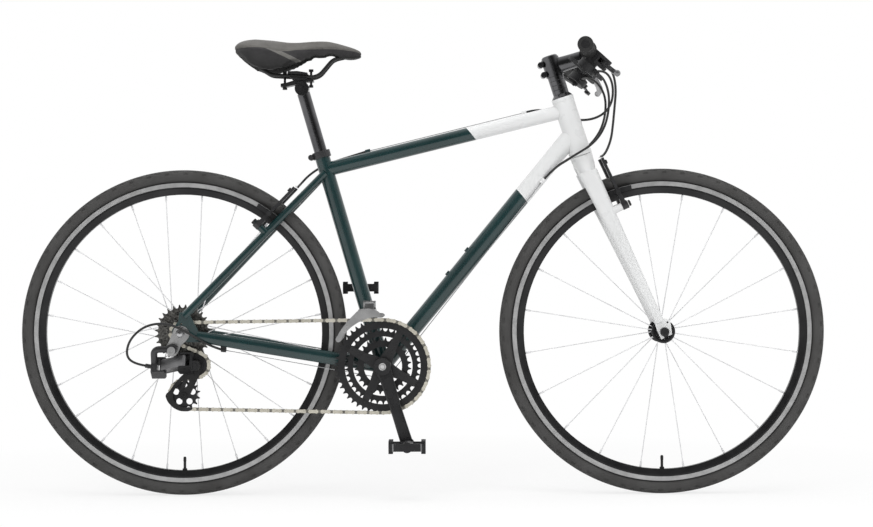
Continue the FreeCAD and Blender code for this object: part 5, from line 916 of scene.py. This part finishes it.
# %% Slim arms and their bolts
PIVOT_BOLT = ((5.6, 0), (5.6, 9), (7.2, 9), (8, 6.4), (13, 6.4), (13.8, 5.6), (13.8, 3), (10.5, 3), (10.5, 0))
CABLE_BOLT = ((2.4, 0), (2.4, 4.6), (6, 4.6), (6.6, 4), (6.6, 2), (5, 2), (5, 0))
ARM_PLACES = {"front": ((423.4, 40, 607.8), (-0.4247, 0, 0.9053), (0.9053, 0, 0.4247)),
              "rear": ((-344.6, 40, 568.7), (0.6966, 0, 0.7175), (-0.7175, 0, 0.6966))}
SLIM_SHARE, SLIM_FROM, SLIM_RUN, ARM_REACH = 0.45, 0.006, 0.034, 0.09
CABLE_HEIGHT, CABLE_INSET = 0.099, 0.0045


def slim_arm(name, node_name, pivot, way, ahead):
    """A copy of an arm and its pad, with the arm thinned above its pivot."""
    bm = bmesh_of(frame["nodes"][node_name].data)
    bmesh.ops.remove_doubles(bm, verts=bm.verts, dist=WELD)
    for island in list(islands(bm)):
        corners = {vertex for face in island for vertex in face.verts}
        is_arm = max((vertex.co - pivot).dot(way) for vertex in corners) > ARM_REACH
        for face in island:
            face.material_index = 0 if is_arm else 1
        for vertex in corners if is_arm else ():
            share = ((vertex.co - pivot).dot(way) - SLIM_FROM) / SLIM_RUN
            depth = (vertex.co - pivot).dot(ahead)
            vertex.co -= ahead * depth * SLIM_SHARE * min(1, max(0, share))
    return piece_from(bm, name, smooth=False)


arms, arm_bolts = [], []
for end, (pivot, way, ahead) in ARM_PLACES.items():
    way, ahead = Vector(way).normalized(), Vector(ahead).normalized()
    for side, tag in ((1, "left"), (-1, "right")):
        body = f"{end}_brake_arm_{tag}"
        foot = Vector((pivot[0], side * pivot[1], pivot[2])) * MM
        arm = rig.ride(slim_arm(f"{end}_slim_arm_{tag}", body, foot, way, ahead), body)
        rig.replaces(arm, body)
        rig.slot(arm, "black_alloy")
        arms.append(arm)
        top = foot + way * CABLE_HEIGHT - Vector((0, side * CABLE_INSET, 0))
        forms = [turned(PIVOT_BOLT, foot, ahead), turned(CABLE_BOLT, top, ahead)]
        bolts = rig.ride(joined(f"{end}_arm_bolts_{tag}", forms), body)
        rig.slot(bolts, "black_steel")
        arm_bolts.append(bolts)
print("arms", len(arms), "bolts", len(arm_bolts))

# %% [markdown]
# ## Finishes
# Every finish reads the piece's own coordinates in metres, so a pattern keeps its size and stays on
# the piece when it moves. A few small helpers link the nodes: noise for uneven colour, a ramp between
# two shades, a range for roughness and a bump for the grain.


# %% Helpers for finishes
def new_finish(name, roughness=0.5, metallic=0.0):
    finish = bpy.data.materials.new(name)
    finish.use_nodes = True
    shader = finish.node_tree.nodes["Principled BSDF"]
    shader.inputs["Roughness"].default_value = roughness
    shader.inputs["Metallic"].default_value = metallic
    return finish, finish.node_tree, shader


def own_place(tree, centre=(0, 0, 0), scale=(1, 1, 1)):
    """The piece's coordinates, centred and stretched by a Mapping node."""
    where = tree.nodes.new("ShaderNodeTexCoord")
    mapping = tree.nodes.new("ShaderNodeMapping")
    mapping.vector_type = "TEXTURE"
    mapping.inputs["Location"].default_value = centre
    mapping.inputs["Scale"].default_value = scale
    tree.links.new(where.outputs["Object"], mapping.inputs["Vector"])
    return mapping.outputs["Vector"]


def noise(tree, place, scale, detail=3.0):
    node = tree.nodes.new("ShaderNodeTexNoise")
    node.inputs["Scale"].default_value = scale
    node.inputs["Detail"].default_value = detail
    tree.links.new(place, node.inputs["Vector"])
    return node.outputs["Fac"]


def two_shades(tree, place, scale, dark, light):
    """A colour that wanders between two shades with a noise."""
    node = tree.nodes.new("ShaderNodeValToRGB")
    for stop, position, shade in zip(node.color_ramp.elements, (0.3, 0.7), (dark, light)):
        stop.position = position
        stop.color = (*shade, 1)
    tree.links.new(noise(tree, place, scale), node.inputs["Fac"])
    return node.outputs["Color"]


def ranged(tree, amount, low, high, from_low=0.25, from_high=0.75):
    node = tree.nodes.new("ShaderNodeMapRange")
    node.inputs["From Min"].default_value = from_low
    node.inputs["From Max"].default_value = from_high
    node.inputs["To Min"].default_value = low
    node.inputs["To Max"].default_value = high
    tree.links.new(amount, node.inputs["Value"])
    return node.outputs["Result"]


def sum_of(tree, operation, first, second):
    """A Math node, whose inputs are sockets or numbers."""
    node = tree.nodes.new("ShaderNodeMath")
    node.operation = operation
    for socket, value in zip(node.inputs, (first, second)):
        if isinstance(value, (int, float)):
            socket.default_value = value
        else:
            tree.links.new(value, socket)
    return node.outputs["Value"]


def slant_of(tree, first, second):
    """The long side of a right-angled triangle."""
    squares = [sum_of(tree, "MULTIPLY", side, side) for side in (first, second)]
    return sum_of(tree, "SQRT", sum_of(tree, "ADD", *squares), 0)


def mixed(tree, amount, first, second):
    node = tree.nodes.new("ShaderNodeMix")
    node.data_type = "RGBA"
    tree.links.new(amount, node.inputs["Factor"])
    tree.links.new(first, node.inputs[6])
    tree.links.new(second, node.inputs[7])
    return node.outputs[2]


def grained(tree, shader, height, depth, strength=1.0):
    node = tree.nodes.new("ShaderNodeBump")
    node.inputs["Strength"].default_value = strength
    node.inputs["Distance"].default_value = depth
    tree.links.new(height, node.inputs["Height"])
    tree.links.new(node.outputs["Normal"], shader.inputs["Normal"])


def parts_of(tree, place):
    node = tree.nodes.new("ShaderNodeSeparateXYZ")
    tree.links.new(place, node.inputs["Vector"])
    return node.outputs["X"], node.outputs["Y"], node.outputs["Z"]


# %% [markdown]
# Paint on a frame is smooth but never a mirror: a faint orange peel in the lacquer breaks the
# reflections. The main triangle has two colours that meet on one slanted plane across all tubes, so
# the mask is a sum of the X and Z coordinates and needs no seam in the mesh.

# %% Frame and fork paint
GREEN_DARK, GREEN_LIGHT = (0.004, 0.021, 0.022), (0.006, 0.029, 0.030)
WHITE_DARK, WHITE_LIGHT = (0.62, 0.625, 0.625), (0.67, 0.675, 0.675)
SPLIT_X, SPLIT_Z, SPLIT_AT = 0.775, 0.632, 0.5604


def lacquer(tree, shader, place):
    shader.inputs["Coat Weight"].default_value = 0.55
    shader.inputs["Coat Roughness"].default_value = 0.08
    tree.links.new(ranged(tree, noise(tree, place, 40), 0.24, 0.36), shader.inputs["Roughness"])
    grained(tree, shader, noise(tree, place, 900, 1), 0.00001, 0.15)


def plain_paint(name, dark, light):
    finish, tree, shader = new_finish(name)
    place = own_place(tree)
    tree.links.new(two_shades(tree, place, 9, dark, light), shader.inputs["Base Color"])
    lacquer(tree, shader, place)
    return finish


def split_paint(name):
    finish, tree, shader = new_finish(name)
    place = own_place(tree)
    x, y, z = parts_of(tree, place)
    level = sum_of(tree, "ADD", sum_of(tree, "MULTIPLY", x, SPLIT_X), sum_of(tree, "MULTIPLY", z, SPLIT_Z))
    green = two_shades(tree, place, 9, GREEN_DARK, GREEN_LIGHT)
    white = two_shades(tree, place, 9, WHITE_DARK, WHITE_LIGHT)
    colour = mixed(tree, sum_of(tree, "GREATER_THAN", level, SPLIT_AT), green, white)
    tree.links.new(colour, shader.inputs["Base Color"])
    lacquer(tree, shader, place)
    return finish


two_tone_paint = split_paint("two_tone_paint")
green_paint = plain_paint("green_paint", GREEN_DARK, GREEN_LIGHT)
white_paint = plain_paint("white_paint", WHITE_DARK, WHITE_LIGHT)
print("paints", two_tone_paint.name, green_paint.name, white_paint.name)

# %% [markdown]
# Most small parts are aluminium or steel: anodised black, polished silver, or plated. A metal shows
# its working as fine stretched scratches, so the noise is squeezed along one axis, and it changes the
# roughness more than the colour. The cassette is the exception: its fine, wide colour noise paints
# light speckles that stand for highlights on the teeth.


# %% Metals
def metal(name, dark, light, rough_low, rough_high, metallic=1.0, grain=(1, 8, 1), depth=0.00002,
          cloud=30):
    finish, tree, shader = new_finish(name, metallic=metallic)
    place = own_place(tree)
    brushed = noise(tree, own_place(tree, scale=grain), 260, 2)
    tree.links.new(two_shades(tree, place, cloud, dark, light), shader.inputs["Base Color"])
    tree.links.new(ranged(tree, brushed, rough_low, rough_high), shader.inputs["Roughness"])
    grained(tree, shader, brushed, depth, 0.3)
    return finish


black_alloy = metal("black_alloy", (0.012, 0.012, 0.013), (0.022, 0.022, 0.023), 0.28, 0.42, 0.35)
dark_alloy = metal("dark_alloy", (0.035, 0.035, 0.037), (0.06, 0.06, 0.062), 0.28, 0.42, 0.6)
silver_alloy = metal("silver_alloy", (0.42, 0.42, 0.42), (0.55, 0.55, 0.55), 0.25, 0.40)
bright_steel = metal("bright_steel", (0.50, 0.50, 0.51), (0.66, 0.66, 0.67), 0.18, 0.32)
chain_steel = metal("chain_steel", (0.55, 0.52, 0.44), (0.70, 0.67, 0.58), 0.25, 0.42, 0.7)
chain_inner_steel = metal("chain_inner_steel", (0.16, 0.15, 0.13), (0.26, 0.25, 0.22), 0.3, 0.5, 0.7)
# Painted highlights: the cassette's fine colour noise from near-black to grey paints light speckles as glints on the
# teeth.
cog_steel_painted_glints = metal("cog_steel_painted_glints", (0.02, 0.02, 0.02), (0.22, 0.215, 0.20), 0.25, 0.40, 0.8, cloud=170)
spoke_steel = metal("spoke_steel", (0.62, 0.62, 0.63), (0.74, 0.74, 0.75), 0.35, 0.5, 0.15)
polished_black = metal("polished_black", (0.10, 0.10, 0.105), (0.15, 0.15, 0.155), 0.14, 0.24)
grey_alloy = metal("grey_alloy", (0.20, 0.20, 0.205), (0.32, 0.32, 0.325), 0.28, 0.42, 0.9)
black_steel = metal("black_steel", (0.012, 0.012, 0.012), (0.03, 0.03, 0.03), 0.35, 0.5, 0.5)
print("metals ready")

# %% [markdown]
# The right crank is black, but the bolt that holds it on the spindle is bare and bright. A mask on the
# distance from the spindle axis finds it.

# %% Crank with a bright bolt
BOLT_REACH = 0.0075


def distance_from_axle(tree, axle):
    x, y, z = parts_of(tree, own_place(tree, centre=axle))
    return slant_of(tree, x, z)


def crank_finish(name):
    finish, tree, shader = new_finish(name, metallic=0.5)
    place = own_place(tree)
    black = two_shades(tree, place, 25, (0.020, 0.020, 0.021), (0.034, 0.034, 0.035))
    bright = two_shades(tree, place, 60, (0.50, 0.50, 0.50), (0.62, 0.62, 0.62))
    bolt = sum_of(tree, "LESS_THAN", distance_from_axle(tree, SHELL * MM), BOLT_REACH)
    tree.links.new(mixed(tree, bolt, black, bright), shader.inputs["Base Color"])
    tree.links.new(ranged(tree, noise(tree, place, 50), 0.22, 0.36), shader.inputs["Roughness"])
    grained(tree, shader, noise(tree, place, 900, 2), 0.00001, 0.15)
    return finish


crank_black = crank_finish("crank_black")
print("crank", crank_black.name)

# %% [markdown]
# A rim is black with a bare braking track on each side, turned in fine circles. The track is found
# by the distance from the axle, so one finish makes both zones, and each wheel has its own centre.


# %% Rims
TRACK_IN, TRACK_OUT = 0.3065, 0.3155


def rim_finish(name, axle):
    finish, tree, shader = new_finish(name, metallic=0.6)
    place = own_place(tree, centre=axle)
    radius = distance_from_axle(tree, axle)
    track = sum_of(tree, "MULTIPLY", sum_of(tree, "GREATER_THAN", radius, TRACK_IN),
                   sum_of(tree, "LESS_THAN", radius, TRACK_OUT))
    black = two_shades(tree, place, 25, (0.016, 0.016, 0.017), (0.028, 0.028, 0.029))
    bare = two_shades(tree, place, 60, (0.36, 0.36, 0.36), (0.48, 0.48, 0.48))
    tree.links.new(mixed(tree, track, black, bare), shader.inputs["Base Color"])
    circles = sum_of(tree, "SINE", sum_of(tree, "MULTIPLY", radius, 9000), 0)
    grained(tree, shader, sum_of(tree, "MULTIPLY", circles, track), 0.00002, 0.4)
    tree.links.new(ranged(tree, noise(tree, place, 50), 0.30, 0.42), shader.inputs["Roughness"])
    return finish


front_rim_finish = rim_finish("front_rim_finish", FRONT_AXLE)
rear_rim_finish = rim_finish("rear_rim_finish", REAR_AXLE)
print("rims", front_rim_finish.name, rear_rim_finish.name)

# %% [markdown]
# Rubber and plastic scatter light at the surface and have almost no mirror in them. Tyre rubber is
# dusty grey, a grip is darker and dull, moulded plastic has a fine leathery grain, and a housing is
# smooth.


# %% Rubber and plastic
def moulded(name, dark, light, rough_low, rough_high, grain=700, depth=0.00006, cloud=18,
            gloss=0.35):
    finish, tree, shader = new_finish(name)
    place = own_place(tree)
    tree.links.new(two_shades(tree, place, cloud, dark, light), shader.inputs["Base Color"])
    tree.links.new(ranged(tree, noise(tree, place, 45), rough_low, rough_high), shader.inputs["Roughness"])
    shader.inputs["Specular IOR Level"].default_value = gloss
    grained(tree, shader, noise(tree, place, grain, 2), depth, 0.5)
    return finish


tyre_rubber = moulded("tyre_rubber", (0.045, 0.044, 0.043), (0.062, 0.061, 0.060), 0.7, 0.88)
grip_rubber = moulded("grip_rubber", (0.014, 0.014, 0.014), (0.022, 0.022, 0.022), 0.6, 0.8)
black_plastic = moulded("black_plastic", (0.013, 0.013, 0.014), (0.022, 0.022, 0.023), 0.42, 0.58)
housing_plastic = moulded("housing_plastic", (0.018, 0.018, 0.018), (0.028, 0.028, 0.028), 0.32, 0.45)
dull_plastic = moulded("dull_plastic", (0.008, 0.008, 0.008), (0.013, 0.013, 0.013), 0.85, 0.95, gloss=0.05)
print("rubber and plastic ready")

# %% [markdown]
# The saddle has a grained cover in two greys that meet at the side seam. The upper panel is lighter
# and the skirt below the seam darker. This difference is partly the cover's two panels and partly
# painted shade, since the top faces catch more light. A pale band slants down the flank. The zones are
# masks on X and Z, faces that look down are darkened as painted shade, and a fine Voronoi bump
# gives the grain of the cover.

# %% Saddle cover finish
BAND_FROM, BAND_TO, BAND_HALF = (-0.322, 0.9395), (-0.258, 0.9105), 0.0042
CURVE_BACK, CURVE_RUN, CURVE_LOW, CURVE_RISE = -0.40, 0.28, 0.92, 0.03
# How far down a face must look to get the full painted shade on the saddle's underside.
FULL_SHADE_FACING = -0.55


def saddle_finish(name):
    finish, tree, shader = new_finish(name)
    place = own_place(tree)
    x, y, z = parts_of(tree, place)
    curve = tree.nodes.new("ShaderNodeFloatCurve")
    curve.inputs["Factor"].default_value = 1
    points = curve.mapping.curves[0].points
    for index, (px, pz) in enumerate(SEAM_LINE):
        at = ((px - CURVE_BACK) / CURVE_RUN, (pz - CURVE_LOW) / CURVE_RISE)
        if index in (0, len(SEAM_LINE) - 1):
            points[0 if index == 0 else -1].location = at
        else:
            points.new(*at)
    curve.mapping.update()
    along = ranged(tree, x, 0, 1, CURVE_BACK, CURVE_BACK + CURVE_RUN)
    tree.links.new(along, curve.inputs["Value"])
    seam = ranged(tree, curve.outputs["Value"], CURVE_LOW, CURVE_LOW + CURVE_RISE, 0, 1)
    upper = sum_of(tree, "GREATER_THAN", z, seam)
    # Painted light: the upper panel is painted lighter and the skirt darker, partly as the shading of a top light.
    upper_panel_painted_light = two_shades(tree, place, 30, (0.082, 0.078, 0.073), (0.112, 0.107, 0.099))
    skirt_painted_shade = two_shades(tree, place, 30, (0.022, 0.021, 0.022), (0.034, 0.033, 0.034))
    panels_with_painted_shade = mixed(tree, upper, skirt_painted_shade, upper_panel_painted_light)
    run = Vector(BAND_TO) - Vector(BAND_FROM)
    side = Vector((-run.y, run.x)).normalized()
    across = sum_of(tree, "ADD", sum_of(tree, "MULTIPLY", sum_of(tree, "SUBTRACT", x, BAND_FROM[0]), side.x),
                    sum_of(tree, "MULTIPLY", sum_of(tree, "SUBTRACT", z, BAND_FROM[1]), side.y))
    on_band = sum_of(tree, "LESS_THAN", sum_of(tree, "ABSOLUTE", across, 0), BAND_HALF)
    on_flank = sum_of(tree, "MULTIPLY", on_band, sum_of(tree, "LESS_THAN", z, seam))
    pale = two_shades(tree, place, 60, (0.10, 0.098, 0.092), (0.135, 0.13, 0.122))
    banded = mixed(tree, on_flank, panels_with_painted_shade, pale)
    # Painted shade: faces that look down are mixed towards a near-black colour, which stands for the shade under the
    # saddle.
    facing = tree.nodes.new("ShaderNodeTexCoord")
    facing_up = parts_of(tree, facing.outputs["Normal"])[2]
    shade = two_shades(tree, place, 30, (0.008, 0.008, 0.008), (0.012, 0.012, 0.012))
    painted_underside_shade_mask = ranged(tree, facing_up, 1, 0, FULL_SHADE_FACING, 0)
    tree.links.new(mixed(tree, painted_underside_shade_mask, banded, shade), shader.inputs["Base Color"])
    cells = tree.nodes.new("ShaderNodeTexVoronoi")
    cells.inputs["Scale"].default_value = 700
    tree.links.new(place, cells.inputs["Vector"])
    grained(tree, shader, cells.outputs["Distance"], 0.0002, 0.5)
    tree.links.new(ranged(tree, noise(tree, place, 40), 0.5, 0.66), shader.inputs["Roughness"])
    shader.inputs["Specular IOR Level"].default_value = 0.35
    return finish


saddle_cover_finish = saddle_finish("saddle_cover_finish")
print("saddle finish", saddle_cover_finish.name)

# %% [markdown]
# ## Giving out the finishes
# The solids keep their shapes, so only the material in each slot changes. One table from finish to
# pieces shows at a glance what is made of what.

# %% Finishes of the solids
solid_finishes = {
    two_tone_paint: ["main_triangle"],
    green_paint: ["rear_triangle"],
    white_paint: ["fork_crown", "fork_blades"],
    polished_black: ["headset_spacers", "headset_bearings", "stem", "stem_faceplate", "seatpost"],
    black_alloy: ["handlebar", "chainrings", "front_hub", "rear_hub", "rear_derailleur_cage"],
    crank_black: ["right_crank", "left_crank"],
    dark_alloy: ["seat_collar", "rear_derailleur_body", "rear_derailleur_inner_link", "left_release_trigger",
                 "right_release_trigger"],
    grey_alloy: ["left_brake_lever", "right_brake_lever", "rear_derailleur_outer_link"],
    spoke_steel: ["front_spokes", "rear_spokes"],
    silver_alloy: ["front_derailleur_body", "front_derailleur_link",
                   "front_release_lever", "rear_release_lever"],
    bright_steel: ["front_axle", "rear_axle", "crank_spindle"],
    cog_steel_painted_glints: ["cassette"],
    black_steel: ["bottom_bracket", "saddle_rails"],
    black_plastic: ["lever_brackets", "left_shift_lever", "right_shift_lever", "right_pedal",
                    "left_pedal", "guide_pulley"],
    dull_plastic: ["saddle_shell"],
    front_rim_finish: ["front_rim"],
    rear_rim_finish: ["rear_rim"]}
for finish, node_names in solid_finishes.items():
    for node_name in node_names:
        for holder in frame["nodes"][node_name].material_slots:
            holder.material = finish
    print(finish.name, len(node_names), "solids")

# %% Finishes of the new pieces
new_finishes = {
    housing_plastic: housings,
    bright_steel: wires,
    black_plastic: [cable_guide, chain_stay_stop, lower_pulley],
    black_alloy: [rail_clamp, hub_rings, hub_cap],
    grey_alloy: reflectors,
    silver_alloy: [front_cage, claw_hanger],
    tyre_rubber: treads,
    black_steel: valves + [cage_plate] + arm_bolts,
    grip_rubber: grips,
    saddle_cover_finish: [saddle_skin]}
for finish, pieces in new_finishes.items():
    for piece in pieces:
        piece.data.materials.clear()
        piece.data.materials.append(finish)
    print(finish.name, len(pieces), "pieces")
paired_finishes = [(piece, chain_steel, chain_inner_steel) for piece in chain.values()]
paired_finishes += [(piece, dark_alloy, black_plastic) for piece in arms]
for piece, first, second in paired_finishes:
    piece.data.materials.append(first)
    piece.data.materials.append(second)
print("pieces of two finishes", len(paired_finishes))

# %% [markdown]
# ## Floor and light
# The picture has a white ground with almost no shadow. The floor is pale and partly shines with its
# own white for the camera, which keeps a faint shadow under the wheels. The world is white for the
# camera and for mirrors, and dimmer as a lamp. Three large soft lamps model the tubes.

# %% Floor
FLOOR_HALF = 30
SHADOW_SHARE, SHADOW_NEAR, SHADOW_FAR = 0.72, 0.7, 1.6


def seen_rays(tree):
    """The mask of camera rays, and the mask of all rays that see a thing directly or in a mirror."""
    rays = tree.nodes.new("ShaderNodeLightPath")
    from_camera = rays.outputs["Is Camera Ray"]
    seen = sum_of(tree, "MAXIMUM", from_camera, rays.outputs["Is Glossy Ray"])
    return from_camera, sum_of(tree, "MAXIMUM", seen, rays.outputs["Is Transmission Ray"])


floor_mesh = bmesh.new()
bmesh.ops.create_grid(floor_mesh, x_segments=1, y_segments=1, size=FLOOR_HALF)
floor = piece_from(floor_mesh, "floor", smooth=False)
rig.stage(floor)
floor_finish, tree, shader = new_finish("pale_floor", roughness=0.9)
shader.inputs["Base Color"].default_value = (0.9, 0.9, 0.9, 1)
glow = tree.nodes.new("ShaderNodeEmission")
blend_node = tree.nodes.new("ShaderNodeMixShader")
from_camera, seen = seen_rays(tree)
x, y, z = parts_of(tree, own_place(tree))
share = ranged(tree, slant_of(tree, x, y), SHADOW_SHARE, 1, SHADOW_NEAR, SHADOW_FAR)
tree.links.new(sum_of(tree, "MULTIPLY", seen, share), blend_node.inputs["Fac"])
tree.links.new(shader.outputs["BSDF"], blend_node.inputs[1])
tree.links.new(glow.outputs["Emission"], blend_node.inputs[2])
tree.links.new(blend_node.outputs["Shader"], tree.nodes["Material Output"].inputs["Surface"])
floor.data.materials.append(floor_finish)
print("floor", floor.name)

# %% World and lamps
SKY_LIGHT, DARK_ROOM = 0.55, 0.1
ROOM_FROM, ROOM_TO = -0.8, 0.1
world = bpy.data.worlds.new("white_studio")
world.use_nodes = True
scene.world = world
tree = world.node_tree
ground = tree.nodes["Background"]
from_camera, seen = seen_rays(tree)
ground.inputs["Color"].default_value = (1, 1, 1, 1)
way = tree.nodes.new("ShaderNodeTexCoord")
along_y = parts_of(tree, way.outputs["Generated"])[1]
backdrop = ranged(tree, along_y, DARK_ROOM, 1, ROOM_FROM, ROOM_TO)
mirrored = sum_of(tree, "MAXIMUM", backdrop, from_camera)
lit = sum_of(tree, "MULTIPLY", seen, mirrored)
unlit = sum_of(tree, "MULTIPLY", sum_of(tree, "SUBTRACT", 1, seen), SKY_LIGHT)
tree.links.new(sum_of(tree, "ADD", lit, unlit), ground.inputs["Strength"])
LAMP_AIM = Vector((0, 0, 0.5))
LAMPS = {"lamp_above": ((0.0, -0.5, 2.8), 45, 2.6), "lamp_front": ((-1.6, -3.2, 1.9), 40, 1.6),
         "lamp_side": ((2.4, -2.2, 1.4), 25, 1.4)}
for name, (place, power, size) in LAMPS.items():
    light = bpy.data.lights.new(name, "AREA")
    light.energy = power
    light.size = size
    lamp = bpy.data.objects.new(name, light)
    lamp.location = place
    lamp.visible_glossy = False
    lamp.rotation_euler = (LAMP_AIM - Vector(place)).to_track_quat("-Z", "Y").to_euler()
    scene.collection.objects.link(lamp)
scene.view_settings.view_transform = "Standard"
print("lamps", list(LAMPS))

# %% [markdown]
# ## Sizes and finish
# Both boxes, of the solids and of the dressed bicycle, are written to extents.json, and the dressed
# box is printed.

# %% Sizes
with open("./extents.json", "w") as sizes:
    json.dump({"solids": [list(corner) for corner in solid_box],
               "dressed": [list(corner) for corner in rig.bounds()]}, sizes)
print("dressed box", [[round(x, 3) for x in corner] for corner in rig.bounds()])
